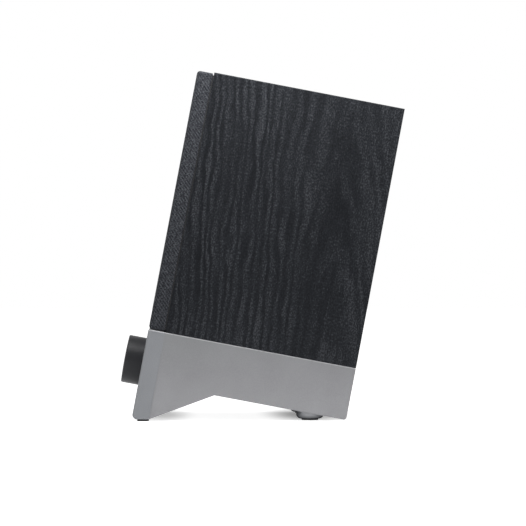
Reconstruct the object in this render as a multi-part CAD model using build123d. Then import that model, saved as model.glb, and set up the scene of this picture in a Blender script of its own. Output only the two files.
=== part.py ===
from build123d import *
import os
from math import atan2, cos, radians, sin, tan

# A desktop loudspeaker that leans back on a cast base, as separate pieces, in millimetres.
# The cabinet frame leans with the object: x to the right as seen from the front, y from the
# grille's face to the back, z up along the cabinet from its joint with the base.
# The last cell stands every piece on the desk at z = 0.

# Clearances
GLUE = 0.05
FIT = 0.3
RUNNING_FIT = 0.08

# Stance
TILT = 10.7
REAR_CLEARANCE = 0.5

# Cabinet
WIDTH = 132.0
CABINET_HEIGHT = 174.4
CABINET_DEPTH = 128.0
PANEL = 10.0
BAFFLE = 12.0
BACK_PANEL = 9.0
CORNER_RADIUS = 0.9
PORT_RADIUS = 15.0
PORT_WALL = 2.5
PORT_FLARE = 6.0
PORT_RIM = 9.0
PORT_RIM_DEPTH = 3.0
PORT_LENGTH = 44.0
PORT_DROP = 36.0
FOAM_WIDTH = 92.0
FOAM_DEPTH = 18.0
FOAM_ABOVE_BOARD = 27.0
FOAM_BELOW_PORT = 6.0

# Grille
GRILLE_DEPTH = 10.1
GRILLE_GAP = 1.1
GRILLE_INSET = 0.5
GRILLE_LIFT = 0.5
GRILLE_LOWER = 0.7
GRILLE_ROUND = 2.2
CLOTH = 0.6
GRILLE_BORDER = 14.0
GRILLE_BAR = 10.0
GRILLE_BAR_SETBACK = 2.4
GRILLE_RIDGE = 2.4
GRILLE_RIDGE_INSET = 1.2
PEG_RADIUS = 3.0
PEG_DEPTH = 8.0
PEG_INSET = 8.0
PEG_LAND = 3.0
SOCKET_WALL = 2.0
SOCKET_FLOOR = 1.0

# Base
BASE_HEIGHT = 34.8
BASE_WALL = 3.0
BASE_DRAFT = 1.0
NOTCH_DEPTH = 50.7
TOE_RADIUS = 3.2
HEEL_RADIUS = 2.0
BASE_EDGE = 0.9
BASE_TOP_EDGE = 0.5
COVER = 2.0
COVER_LAND = 6.0
COVER_RIM = 5.0
POST_RADIUS = 4.0
POST_INSET = 7.5
REAR_POST_SETBACK = 28.0
PANEL_SETBACK = 12.5
CONNECTOR_PANEL = 2.0
BOSS_INSET = 6.0
BOSS_HALF = 5.0
BOSS_DEPTH = 9.0
FRONT_PAD = 1.2
FRONT_PAD_LENGTH = 30.0
FRONT_PAD_INSET = 2.0
FOOT_RADIUS = 9.15
FOOT_ROUND = 3.0
FOOT_PAD_RADIUS = 5.6
FOOT_PAD_SHOW = 0.8
FOOT_PAD_RECESS = 0.5
FOOT_FROM_SIDE = 18.0
FOOT_FROM_BACK = 23.5

# Screws
CASE_SCREW = (1.5, 5.0, 2.75, 1.4)
DRIVER_SCREW = (1.6, 11.0, 2.8, 1.8)
CABINET_SCREW = (1.9, 10.5, 3.6, 2.2)
RECESS_WIDTH = 0.8
CABINET_SCREW_INSET = 16.0
CABINET_SCREW_REAR = 28.8

# Knob and volume control
KNOB_RADIUS = 16.3
KNOB_REACH = 13.0
KNOB_GAP = 0.5
KNOB_DROP = 23.5
KNOB_DOME = 0.5
KNOB_EDGE = 0.9
KNOB_SKIRT = 3.5
KNOB_FACE = 2.4
KNOB_MARK = 4.0
SHAFT_RADIUS = 3.0
BUSH_RADIUS = 3.6
BUSH_OUT = 5.0
NUT_THICKNESS = 2.2
NUT_HALF = 5.0
CONTROL_HALF = 8.0
CONTROL_DEPTH = 9.0
CONTROL_WALL = 1.5
ROTOR_RADIUS = 6.0

# Woofer, as radii and as depths behind the baffle's face
DRIVER_MARGIN = 3.0
WOOFER_RADIUS = 42.0
WOOFER_RIM = 7.0
WOOFER_FLANGE = 3.0
GASKET = 1.0
SURROUND_LIP = 3.5
SURROUND = 0.8
LAND_SETBACK = 0.4
ROLL_RADIUS = 2.6
CONE_LIP = 2.2
CONE = 0.8
CONE_DEPTH = 12.5
CAP_RADIUS = 15.0
CAP_HEIGHT = 5.0
CAP = 0.6
COIL_RADIUS = 12.5
FORMER = 0.4
FORMER_LENGTH = 21.0
WINDING = 0.7
WINDING_LENGTH = 8.5
SPIDER = 0.6
SPIDER_SEAT = 3.0
SPIDER_INSET = 2.4
SPIDER_WAVE = 1.8
SPIDER_DEPTH = 16.4
BASKET_DEPTH = 24.0
BASKET_SHEET = 1.6
BASKET_WINDOWS = 6
BASKET_LEG = 9.0
TOP_PLATE = 5.0
PLATE_RADIUS = 31.0
MAGNET = 12.0
MAGNET_RADIUS = 34.0
MAGNET_BORE = 18.0
YOKE = 5.0
POLE_CLEARANCE = 0.4
PLATE_CLEARANCE = 0.5
VENT_RADIUS = 4.0
TERMINAL_HALF = 7.0
TERMINAL_BOARD = 2.0
TERMINAL_OUT = 5.0
TAB_HALF = 1.6
TAB = 0.8
TAB_LENGTH = 7.0
TAB_PITCH = 6.0

# Tweeter
TWEETER_RADIUS = 23.0
TWEETER_FLANGE = 3.0
TWEETER_MOUTH = 16.2
TWEETER_THROAT = 11.6
DOME_RADIUS = 9.2
DOME_HEIGHT = 3.6
DOME = 0.4
DOME_SEAT = 5.0
TWEETER_ROLL = 1.0
TWEETER_LIP = 1.5
TWEETER_COIL = 0.6
TWEETER_COIL_LENGTH = 3.8
CUP_RADIUS = 16.0
CUP_WALL = 3.5
CUP_LIP = 3.0
CUP_DEPTH = 18.0
CUP_FLOOR = 3.0
CUP_STEP = 1.1
SKIRT = 1.6
SKIRT_DEPTH = 8.0
POLE_PLATE = 3.0
POLE_SETBACK = 1.4

# Crossover and amplifier
BOARD = 1.6
SPACER = 6.0
SPACER_RADIUS = 3.0
CROSSOVER_MARGIN = 12.0
CROSSOVER_DEPTH = 46.0
CROSSOVER_FROM_BACK = 4.0
SPACER_INSET = 6.0
INDUCTOR_RADIUS = 11.0
INDUCTOR_BORE = 5.0
INDUCTOR_HEIGHT = 14.0
INDUCTOR_X = -24.0
CAPACITOR_RADIUS = 6.0
CAPACITOR_HEIGHT = 18.0
CAPACITOR_X = 12.0
CAPACITOR_PITCH = 14.0
BOARD_CLEARANCE = 2.0
BOARD_SETBACK = 5.0
MAIN_SPACER_X = 30.0
CHIP_HALF = 7.0
CHIP = 2.5
SINK_HALF = 20.0
SINK_DEPTH = 20.0
SINK_SETBACK = 8.0
SINK_HEIGHT = 14.0
SINK_PLATE = 3.0
FIN = 1.4
FINS = 7
FILTER_RADIUS = 6.0
FILTER_HEIGHT = 15.0
FILTER_X = -32.0
FILTER_PITCH = 15.0
HEADER_HALF = 5.0
HEADER_DEPTH = 5.0
HEADER_HEIGHT = 8.0

# Connectors
JACK_HEIGHT = 6.5
JACK_DEPTH = 14.0
JACK_HOUSING = 12.5
PHONO_PITCH = 13.0
PHONO_COUNT = 3
PHONO_HALF = 6.0
PHONO_RADIUS = 4.15
PHONO_WALL = 0.75
PHONO_SHOULDER = 0.5
PHONO_OUT = 9.0
PHONO_CONTACT = 1.7
PHONO_CORE = 7.0
COLLAR_RADIUS = 6.1
COLLAR = 2.2
AUDIO_STEP = 15.0
AUDIO_HALF = 5.5
AUDIO_NOSE = 4.0
AUDIO_NOSE_OUT = 1.6
AUDIO_BORE = 1.8
AUDIO_DEPTH = 15.0
POWER_STEP = 14.0
POWER_HALF = 5.5
POWER_NOSE = 4.6
POWER_NOSE_OUT = 1.0
POWER_BORE = 3.1
POWER_DEPTH = 9.5
POWER_PIN = 1.0
POWER_PIN_SHORT = 1.0

# Leads
LEAD_RADIUS = 0.9
LEAD_PITCH = 3.2
LEAD_INSET = 16.0
LEAD_HOLE = 4.5
LEAD_SETBACK = 6.0
LEAD_BEND = 14.0
TWEETER_LEAD_X = 4.0
CONTROL_LEAD_RADIUS = 0.6
CONTROL_LEAD_PITCH = 2.5

# Shared places
lean_sin = sin(radians(TILT))
lean_cos = cos(radians(TILT))
front = GRILLE_DEPTH + GRILLE_GAP
back = front + CABINET_DEPTH
half = WIDTH / 2
stand = REAR_CLEARANCE + back * lean_sin + BASE_HEIGHT * lean_cos
lean = Pos(0, 0, stand) * Rot(-TILT, 0, 0)
inner_half = half - PANEL
inner_top = CABINET_HEIGHT - PANEL
room_back = back - BACK_PANEL
woofer_z = PANEL + DRIVER_MARGIN + WOOFER_RADIUS
tweeter_z = inner_top - DRIVER_MARGIN - TWEETER_RADIUS
port_z = inner_top - PORT_DROP
knob_z = -KNOB_DROP
cover_front = NOTCH_DEPTH + COVER_LAND
cover_back = back - COVER_LAND
cover_top = -BASE_HEIGHT + COVER
base_low_half = half - BASE_HEIGHT * tan(radians(BASE_DRAFT))
opening_half = base_low_half - COVER_RIM
panel_back = back - PANEL_SETBACK
panel_front = panel_back - CONNECTOR_PANEL
post_x = opening_half - POST_INSET
board_bottom = cover_top + SPACER
board_top = board_bottom + BOARD
board_half = post_x - POST_RADIUS - BOARD_CLEARANCE
board_front = cover_front + BOARD_SETBACK
crossover_back = room_back - CROSSOVER_FROM_BACK
crossover_front = crossover_back - CROSSOVER_DEPTH
crossover_bottom = PANEL + SPACER
crossover_half = inner_half - CROSSOVER_MARGIN
crossover_top = crossover_bottom + BOARD
lead_y = crossover_front + LEAD_SETBACK
supply_x = board_half - LEAD_INSET
peg_x = inner_half - PEG_INSET
peg_places = [(x, z) for x in (-peg_x, peg_x) for z in (PANEL + PEG_INSET, inner_top - PEG_INSET)]

pieces = {}


def put(name, *shapes):
    """Keep a piece's solids under its name."""
    pieces[name] = [solid for shape in shapes for solid in shape.solids()]


def block(x, y, z):
    """A box from (low, high) pairs."""
    size = [high - low for low, high in (x, y, z)]
    middle = [(low + high) / 2 for low, high in (x, y, z)]
    return Pos(*middle) * Box(*size)


def rod(radius, y, at=(0, 0)):
    """A cylinder along the depth, at (x, z)."""
    return Pos(at[0], (y[0] + y[1]) / 2, at[1]) * Rot(90, 0, 0) * Cylinder(radius, y[1] - y[0])


def post(radius, z, at=(0, 0)):
    """A cylinder along the height, at (x, y)."""
    return Pos(at[0], at[1], (z[0] + z[1]) / 2) * Cylinder(radius, z[1] - z[0])


def tube(outer, inner, y, at=(0, 0)):
    """A ring along the depth, at (x, z)."""
    return rod(outer, y, at) - rod(inner, (y[0] - 1, y[1] + 1), at)


def across(points, half_width):
    """A solid of a side outline, (y, z), reaching half_width to each side."""
    return extrude(Plane.YZ * make_face(Polyline(*points, close=True)), half_width, both=True)


def along(sketch, y):
    """A solid of a front outline, (x, z), from one depth to another."""
    return Pos(0, y[1], 0) * extrude(Plane.XZ * sketch, y[1] - y[0])


def polygon(*points):
    """A flat face with straight sides."""
    return make_face(Polyline(*points, close=True))


def turned(*points):
    """A solid of revolution about the depth axis, from (radius, depth) points."""
    return revolve(polygon(*points), axis=Axis.Y)


def cross(arm, z):
    """The cross recess of a screw, from one height to another."""
    bar = block((-arm, arm), (-RECESS_WIDTH / 2, RECESS_WIDTH / 2), z)
    return bar + Rot(0, 0, 90) * bar


def pan_screw(kind):
    """A pan head screw along +z, with its head below z = 0 and a cross recess in it."""
    radius, length, head_radius, head = kind
    body = post(radius, (0, length)) + post(head_radius, (-head, 0))
    return body - cross(head_radius * 0.6, (-head - 1, -head * 0.4))


def countersunk(kind, ease=0):
    """A flat head screw's form along +z, with its head's face at z = 0, made wider by an ease."""
    radius, length, head_radius, head = kind
    section = polygon((0, 0), (head_radius + ease, 0), (radius + ease, head), (radius + ease, length), (0, length))
    return revolve(Plane.XZ * section, axis=Axis.Z)


def flat_screw(kind):
    """A flat head screw along +z, with its face at z = 0 and a cross recess in it."""
    return countersunk(kind) - cross(kind[2] * 0.6, (-1, kind[3] * 0.6))


def lead(points, radius, bend):
    """A round lead along straight runs joined by arcs."""
    path = FilletPolyline(*points, radius=bend)
    return sweep(Plane(origin=path @ 0, z_dir=path % 0) * Circle(radius), path=path)


def dome_arc(radius, rim, height):
    """A round dome's section, from its top on the axis to its rim."""
    ball = (radius**2 + height**2) / (2 * height)
    turn = atan2(radius, ball - height) / 2
    middle = (ball * sin(turn), rim - height + ball * (1 - cos(turn)))
    return ThreePointArc((0, rim - height), middle, (radius, rim))


def into_depth(x, y, z):
    """A place whose +z points into the cabinet."""
    return Pos(x, y, z) * Rot(-90, 0, 0)


# Places of the screws
woofer_screw_ring = WOOFER_RADIUS - WOOFER_RIM / 2
tweeter_screw_ring = (TWEETER_RADIUS + TWEETER_MOUTH) / 2
driver_screw_places = []
for ring, middle in ((woofer_screw_ring, woofer_z), (tweeter_screw_ring, tweeter_z)):
    step = ring * cos(radians(45))
    driver_screw_places += [(x, middle + z) for x in (-step, step) for z in (-step, step)]
cabinet_screw_places = []
for x in (-inner_half + CABINET_SCREW_INSET, inner_half - CABINET_SCREW_INSET):
    cabinet_screw_places += [(x, front + CABINET_SCREW_INSET), (x, back - CABINET_SCREW_REAR)]
cover_screw_places = []
for x in (-post_x, post_x):
    cover_screw_places += [(x, cover_front + POST_INSET), (x, panel_front - REAR_POST_SETBACK)]
panel_screw_x = half - BASE_WALL - BOSS_INSET
panel_screw_z = -BASE_HEIGHT / 2
foot_places = [(x, back - FOOT_FROM_BACK) for x in (-half + FOOT_FROM_SIDE, half - FOOT_FROM_SIDE)]

# Cabinet panels, mitred at their long edges
outer_face = Pos(0, CABINET_HEIGHT / 2) * RectangleRounded(WIDTH, CABINET_HEIGHT, CORNER_RADIUS)
inner_block = block((-inner_half, inner_half), (front - 1, back + 1), (PANEL, inner_top))
wrap = along(outer_face, (front, back)) - inner_block
left_wedge = polygon((-half, 0), (-inner_half, PANEL), (-inner_half, inner_top), (-half, CABINET_HEIGHT))
right_wedge = polygon((half, 0), (half, CABINET_HEIGHT), (inner_half, inner_top), (inner_half, PANEL))
top_wedge = polygon(
    (-half, CABINET_HEIGHT), (-inner_half, inner_top), (inner_half, inner_top), (half, CABINET_HEIGHT)
)
bottom_wedge = polygon((-half, 0), (half, 0), (inner_half, PANEL), (-inner_half, PANEL))
put("left_panel", wrap & along(left_wedge, (front, back)))
put("right_panel", wrap & along(right_wedge, (front, back)))
put("top_panel", wrap & along(top_wedge, (front, back)))
bottom_panel = wrap & along(bottom_wedge, (front, back))
bottom_panel -= post(LEAD_HOLE, (-1, PANEL + 1), (supply_x, lead_y))
for place in cabinet_screw_places:
    bottom_panel -= post(CABINET_SCREW[0] + GLUE, (-1, CABINET_SCREW[1] - BASE_WALL + GLUE), place)
put("bottom_panel", bottom_panel)

# Back panel, bass port and damping foam
port_outer = PORT_RADIUS + PORT_WALL
port_rim = PORT_RADIUS + PORT_RIM
back_panel = block((-inner_half, inner_half), (room_back, back), (PANEL, inner_top))
back_panel -= rod(port_outer + GLUE, (room_back - 1, back + 1), (0, port_z))
back_panel -= rod(port_rim + GLUE, (back - PORT_RIM_DEPTH, back + 1), (0, port_z))
put("back_panel", back_panel)
flare_mid = PORT_FLARE * (1 - cos(radians(45)))
port_profile = make_face([
    Line((PORT_RADIUS, back - PORT_LENGTH), (PORT_RADIUS, back - PORT_FLARE)),
    ThreePointArc(
        (PORT_RADIUS, back - PORT_FLARE),
        (PORT_RADIUS + flare_mid, back - flare_mid),
        (PORT_RADIUS + PORT_FLARE, back),
    ),
    Line((PORT_RADIUS + PORT_FLARE, back), (port_rim, back)),
    Line((port_rim, back), (port_rim, back - PORT_RIM_DEPTH)),
    Line((port_rim, back - PORT_RIM_DEPTH), (port_outer, back - PORT_RIM_DEPTH)),
    Line((port_outer, back - PORT_RIM_DEPTH), (port_outer, back - PORT_LENGTH)),
    Line((port_outer, back - PORT_LENGTH), (PORT_RADIUS, back - PORT_LENGTH)),
])
put("port_tube", Pos(0, 0, port_z) * revolve(port_profile, axis=Axis.Y))
foam_z = (crossover_top + FOAM_ABOVE_BOARD, port_z - port_outer - FOAM_BELOW_PORT)
foam_y = (room_back - FOAM_DEPTH, room_back)
put("damping_foam", block((-FOAM_WIDTH / 2, FOAM_WIDTH / 2), foam_y, foam_z))

# Front baffle with its cut-outs
woofer_rebate = WOOFER_FLANGE + GASKET
woofer_hole = WOOFER_RADIUS - WOOFER_RIM + BASKET_SHEET
tweeter_hole = CUP_RADIUS + GLUE + SKIRT
socket_radius = PEG_RADIUS + FIT + SOCKET_WALL
socket_depth = PEG_DEPTH + FIT + SOCKET_FLOOR
through_baffle = (front - 1, front + BAFFLE + 1)
baffle = block((-inner_half, inner_half), (front, front + BAFFLE), (PANEL, inner_top))
baffle -= rod(woofer_hole + FIT, through_baffle, (0, woofer_z))
baffle -= rod(WOOFER_RADIUS + FIT, (front - 1, front + woofer_rebate), (0, woofer_z))
baffle -= rod(tweeter_hole + FIT, through_baffle, (0, tweeter_z))
baffle -= rod(TWEETER_RADIUS + FIT, (front - 1, front + TWEETER_FLANGE), (0, tweeter_z))
for place in peg_places:
    baffle -= rod(socket_radius + GLUE, (front - 1, front + socket_depth), place)
for place in driver_screw_places:
    baffle -= rod(DRIVER_SCREW[0] + GLUE, (front, front + DRIVER_SCREW[1] + GLUE), place)
put("front_baffle", baffle)
sockets = []
for place in peg_places:
    cup = rod(socket_radius, (front, front + socket_depth), place)
    sockets.append(cup - rod(PEG_RADIUS + FIT, (front - 1, front + PEG_DEPTH + FIT), place))
put("grille_sockets", *sockets)
driver_screws = [into_depth(x, front, z) * pan_screw(DRIVER_SCREW) for x, z in driver_screw_places]
put("driver_screws", *driver_screws)

# Grille: a frame with pegs, and the cloth drawn over it
grille_low = GRILLE_LIFT
grille_high = CABINET_HEIGHT - GRILLE_LOWER
grille_half = half - GRILLE_INSET


def grille_block(shrink, y, rounding):
    """The grille's outer form, drawn in by shrink, with its front edges rounded."""
    x = grille_half - shrink
    solid = block((-x, x), y, (grille_low + shrink, grille_high - shrink))
    return fillet(solid.faces().sort_by(Axis.Y)[0].edges(), rounding)


frame = grille_block(CLOTH, (CLOTH, GRILLE_DEPTH), GRILLE_ROUND - CLOTH)
frame_half = peg_x - PEG_RADIUS - PEG_LAND
bar_middle = (woofer_z + WOOFER_RADIUS + tweeter_z - TWEETER_RADIUS) / 2
bar_low = bar_middle - GRILLE_BAR / 2
bar_high = bar_middle + GRILLE_BAR / 2
frame_depth = (-1, GRILLE_DEPTH + 1)
frame -= block((-frame_half, frame_half), frame_depth, (grille_low + GRILLE_BORDER, bar_low))
frame -= block((-frame_half, frame_half), frame_depth, (bar_high, grille_high - GRILLE_BORDER))
frame -= block((-frame_half, frame_half), (-1, CLOTH + GRILLE_BAR_SETBACK), (bar_low - 1, bar_high + 1))
ridge_half = grille_half - GRILLE_RIDGE_INSET
ridge_in = ridge_half - GRILLE_RIDGE
ridge_z = (grille_low + GRILLE_RIDGE_INSET, grille_high - GRILLE_RIDGE_INSET)
ridge = block((-ridge_half, ridge_half), (GRILLE_DEPTH - 1, front - GLUE), ridge_z)
ridge -= block((-ridge_in, ridge_in), (0, front), (ridge_z[0] + GRILLE_RIDGE, ridge_z[1] - GRILLE_RIDGE))
frame += ridge
for place in peg_places:
    frame += rod(PEG_RADIUS, (GRILLE_DEPTH - 1, front + PEG_DEPTH), place)
put("grille_frame", frame)
cloth = grille_block(0, (0, GRILLE_DEPTH), GRILLE_ROUND)
put("grille_cloth", cloth - grille_block(CLOTH, (CLOTH, GRILLE_DEPTH + 1), GRILLE_ROUND - CLOTH))

# Woofer, built about its own axis with depth 0 on the baffle's face
woofer_at = Pos(0, front, woofer_z)
land_out = WOOFER_RADIUS - WOOFER_RIM
land_in = land_out - SURROUND_LIP
land = SURROUND + LAND_SETBACK
roll_in = land_in - 2 * ROLL_RADIUS
cone_flat = roll_in - CONE_LIP
former_out = COIL_RADIUS + FORMER
coil_out = former_out + WINDING
neck = former_out + GLUE
spider_out = land_in - SPIDER_INSET
seat_in = spider_out - SPIDER_SEAT
basket_low = seat_in + BASKET_SHEET * 2
plate_bore = coil_out + PLATE_CLEARANCE
pole_radius = COIL_RADIUS - POLE_CLEARANCE
plate_back = BASKET_DEPTH + TOP_PLATE
magnet_back = plate_back + MAGNET
yoke_back = magnet_back + YOKE
coil_middle = BASKET_DEPTH + TOP_PLATE / 2
cone_back = land + CONE_DEPTH
basket = turned(
    (WOOFER_RADIUS, 0), (WOOFER_RADIUS, WOOFER_FLANGE), (land_out + BASKET_SHEET, WOOFER_FLANGE),
    (basket_low + BASKET_SHEET, BASKET_DEPTH), (plate_bore + 1, BASKET_DEPTH),
    (plate_bore + 1, BASKET_DEPTH - BASKET_SHEET), (seat_in, BASKET_DEPTH - BASKET_SHEET),
    (seat_in, SPIDER_DEPTH), (spider_out + 2 * FIT, SPIDER_DEPTH), (land_in, land), (land_out, land), (land_out, 0),
)
window_depth = (WOOFER_FLANGE + BASKET_SHEET, SPIDER_DEPTH - BASKET_SHEET)
window = block((seat_in, WOOFER_RADIUS), window_depth, (-BASKET_LEG, BASKET_LEG))
for turn in range(BASKET_WINDOWS):
    basket -= Rot(0, (turn + 0.5) * 360 / BASKET_WINDOWS, 0) * window
for x, z in driver_screw_places[:4]:
    basket -= rod(DRIVER_SCREW[0] + FIT, (-1, WOOFER_FLANGE + 1), (x, z - woofer_z))
put("woofer_basket", woofer_at * basket)
gasket = tube(WOOFER_RADIUS - FIT, woofer_hole + FIT, (WOOFER_FLANGE, WOOFER_FLANGE + GASKET))
for x, z in driver_screw_places[:4]:
    gasket -= rod(DRIVER_SCREW[0] + FIT, (0, woofer_rebate + 1), (x, z - woofer_z))
put("woofer_gasket", woofer_at * gasket)


def half_roll(radius_in, radius_out, depth, thickness):
    """The edges of a rolled sheet's section between two radii, its top and then its underside."""
    middle = (radius_in + radius_out) / 2
    outer = (radius_out - radius_in) / 2
    inner = outer - thickness
    top = ThreePointArc((radius_in, depth), (middle, depth - outer), (radius_out, depth))
    under = ThreePointArc(
        (middle + inner, depth), (middle, depth - inner), (middle - inner, depth)
    )
    return top, under, middle, inner


lip_top = land - SURROUND
top, under, roll_middle, roll_under = half_roll(roll_in, land_in, lip_top, SURROUND)
surround_profile = make_face([
    Line((cone_flat, lip_top), (roll_in, lip_top)),
    top,
    Line((land_in, lip_top), (land_out - GLUE, lip_top)),
    Line((land_out - GLUE, lip_top), (land_out - GLUE, land)),
    Line((land_out - GLUE, land), (roll_middle + roll_under, land)),
    Line((roll_middle + roll_under, land), (roll_middle + roll_under, lip_top)),
    under,
    Line((roll_middle - roll_under, lip_top), (roll_middle - roll_under, land)),
    Line((roll_middle - roll_under, land), (cone_flat, land)),
    Line((cone_flat, land), (cone_flat, lip_top)),
])
put("woofer_surround", woofer_at * revolve(surround_profile, axis=Axis.Y))
cone = turned(
    (roll_in, land), (roll_in, land + CONE), (cone_flat, land + CONE),
    (neck, cone_back + CONE), (neck, cone_back), (cone_flat, land),
)
put("woofer_cone", woofer_at * cone)
cone_slope = CONE_DEPTH / (cone_flat - neck)
cap_rim = land + (cone_flat - CAP_RADIUS) * cone_slope
cap_in = CAP_RADIUS - CAP / cone_slope
cap_profile = make_face([
    dome_arc(CAP_RADIUS, cap_rim, CAP_HEIGHT),
    Line((CAP_RADIUS, cap_rim), (cap_in, cap_rim + CAP)),
    dome_arc(cap_in, cap_rim + CAP, CAP_HEIGHT),
    Line((0, cap_rim - CAP_HEIGHT + CAP), (0, cap_rim - CAP_HEIGHT)),
])
put("woofer_dust_cap", woofer_at * revolve(cap_profile, axis=Axis.Y))
put("voice_coil_former", woofer_at * tube(former_out, COIL_RADIUS, (cone_back, cone_back + FORMER_LENGTH)))
winding_y = (coil_middle - WINDING_LENGTH / 2, coil_middle + WINDING_LENGTH / 2)
put("voice_coil", woofer_at * tube(coil_out, former_out + GLUE, winding_y))
spider_in = former_out + GLUE
wave = (seat_in - FIT - spider_in) / 4
spider_top = [(spider_in + wave * turn, SPIDER_DEPTH - SPIDER * (SPIDER_WAVE if turn % 2 else 1)) for turn in range(5)]
spider_under = [(radius, depth + SPIDER) for radius, depth in reversed(spider_top)]
spider = turned(
    *spider_top, (spider_out, SPIDER_DEPTH - SPIDER), (spider_out, SPIDER_DEPTH), *spider_under
)
put("woofer_spider", woofer_at * spider)
put("woofer_top_plate", woofer_at * tube(PLATE_RADIUS, plate_bore, (BASKET_DEPTH, plate_back)))
put("woofer_magnet", woofer_at * tube(MAGNET_RADIUS, MAGNET_BORE, (plate_back, magnet_back)))
yoke = rod(pole_radius, (BASKET_DEPTH, yoke_back)) + rod(PLATE_RADIUS, (magnet_back, yoke_back))
put("woofer_yoke", woofer_at * (yoke - rod(VENT_RADIUS, (BASKET_DEPTH - 1, yoke_back + 1))))

# Woofer terminals, on a shelf at the basket's right side
shelf_out = MAGNET_RADIUS + TERMINAL_OUT
shelf_y = (BASKET_DEPTH - TERMINAL_BOARD, BASKET_DEPTH)
shelf_room = turned(
    (0, 0), (land_out + BASKET_SHEET, 0), (land_out + BASKET_SHEET, WOOFER_FLANGE),
    (basket_low + BASKET_SHEET, BASKET_DEPTH), (0, BASKET_DEPTH),
)
shelf = block((basket_low, shelf_out + TAB_HALF), shelf_y, (-TERMINAL_HALF, TERMINAL_HALF)) - shelf_room
tabs = []
for side in (-1, 1):
    tab_z = side * TAB_PITCH / 2
    tab_y = (BASKET_DEPTH, BASKET_DEPTH + TAB_LENGTH)
    tabs.append(block((shelf_out - TAB / 2, shelf_out + TAB / 2), tab_y, (tab_z - TAB_HALF, tab_z + TAB_HALF)))
put("woofer_terminals", woofer_at * shelf, *[woofer_at * tab for tab in tabs])

# Tweeter, about its own axis in the same way
tweeter_at = Pos(0, front, tweeter_z)
dome_back = DOME_SEAT + DOME
roll_start = DOME_RADIUS + TWEETER_COIL + GLUE
roll_end = roll_start + 2 * TWEETER_ROLL
lip_end = roll_end + FIT + TWEETER_LIP
cup_in = CUP_RADIUS - CUP_WALL
gap_out = DOME_RADIUS + TWEETER_COIL + PLATE_CLEARANCE
cup_step = dome_back + CUP_STEP
skirt_in = CUP_RADIUS + GLUE
throat_top = DOME_SEAT - TWEETER_ROLL * 0.8
mouth_mid = ((TWEETER_THROAT + TWEETER_MOUTH) / 2 - 0.5, throat_top * 0.36)
faceplate_profile = make_face([
    ThreePointArc((roll_end + FIT, throat_top), mouth_mid, (TWEETER_MOUTH, 0)),
    Line((TWEETER_MOUTH, 0), (TWEETER_RADIUS, 0)),
    Line((TWEETER_RADIUS, 0), (TWEETER_RADIUS, TWEETER_FLANGE)),
    Line((TWEETER_RADIUS, TWEETER_FLANGE), (skirt_in + SKIRT, TWEETER_FLANGE)),
    Line((skirt_in + SKIRT, TWEETER_FLANGE), (skirt_in + SKIRT, SKIRT_DEPTH)),
    Line((skirt_in + SKIRT, SKIRT_DEPTH), (skirt_in, SKIRT_DEPTH)),
    Line((skirt_in, SKIRT_DEPTH), (skirt_in, dome_back)),
    Line((skirt_in, dome_back), (lip_end + GLUE, dome_back)),
    Line((lip_end + GLUE, dome_back), (lip_end + GLUE, DOME_SEAT)),
    Line((lip_end + GLUE, DOME_SEAT), (roll_end + FIT, DOME_SEAT)),
    Line((roll_end + FIT, DOME_SEAT), (roll_end + FIT, throat_top)),
])
faceplate = revolve(faceplate_profile, axis=Axis.Y)
for x, z in driver_screw_places[4:]:
    faceplate -= rod(DRIVER_SCREW[0] + FIT, (-1, TWEETER_FLANGE + 1), (x, z - tweeter_z))
put("tweeter_faceplate", tweeter_at * faceplate)
cup_points = [
    (CUP_RADIUS, dome_back), (CUP_RADIUS, CUP_DEPTH), (0, CUP_DEPTH), (0, CUP_DEPTH - CUP_FLOOR),
    (cup_in, CUP_DEPTH - CUP_FLOOR), (cup_in, cup_step + CUP_LIP), (gap_out, cup_step + CUP_LIP),
    (gap_out, cup_step), (roll_end + FIT, cup_step), (roll_end + FIT, dome_back),
]
put("tweeter_cup", tweeter_at * turned(*cup_points))
pole_front = dome_back + POLE_SETBACK
pole_plate_radius = DOME_RADIUS - FIT
put("tweeter_pole_plate", tweeter_at * rod(pole_plate_radius, (pole_front, pole_front + POLE_PLATE)))
magnet_y = (pole_front + POLE_PLATE, CUP_DEPTH - CUP_FLOOR)
put("tweeter_magnet", tweeter_at * rod(pole_plate_radius - FIT, magnet_y))
coil_y = (dome_back, dome_back + TWEETER_COIL_LENGTH)
put("tweeter_voice_coil", tweeter_at * tube(DOME_RADIUS + TWEETER_COIL, DOME_RADIUS, coil_y))
dome_out = DOME_RADIUS + TWEETER_COIL
dome_profile = make_face([
    dome_arc(dome_out, DOME_SEAT, DOME_HEIGHT),
    Line((dome_out, DOME_SEAT), (dome_out, dome_back)),
    Line((dome_out, dome_back), (DOME_RADIUS, dome_back)),
    dome_arc(DOME_RADIUS, dome_back, DOME_HEIGHT),
    Line((0, DOME_SEAT - DOME_HEIGHT + DOME), (0, DOME_SEAT - DOME_HEIGHT)),
])
put("tweeter_dome", tweeter_at * revolve(dome_profile, axis=Axis.Y))
top, under, roll_middle, roll_under = half_roll(roll_start, roll_end, DOME_SEAT, DOME)
tweeter_surround_profile = make_face([
    top,
    Line((roll_end, DOME_SEAT), (lip_end, DOME_SEAT)),
    Line((lip_end, DOME_SEAT), (lip_end, dome_back)),
    Line((lip_end, dome_back), (roll_middle + roll_under, dome_back)),
    Line((roll_middle + roll_under, dome_back), (roll_middle + roll_under, DOME_SEAT)),
    under,
    Line((roll_middle - roll_under, DOME_SEAT), (roll_middle - roll_under, dome_back)),
    Line((roll_middle - roll_under, dome_back), (roll_start, dome_back)),
    Line((roll_start, dome_back), (roll_start, DOME_SEAT)),
])
put("tweeter_surround", tweeter_at * revolve(tweeter_surround_profile, axis=Axis.Y))

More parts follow.
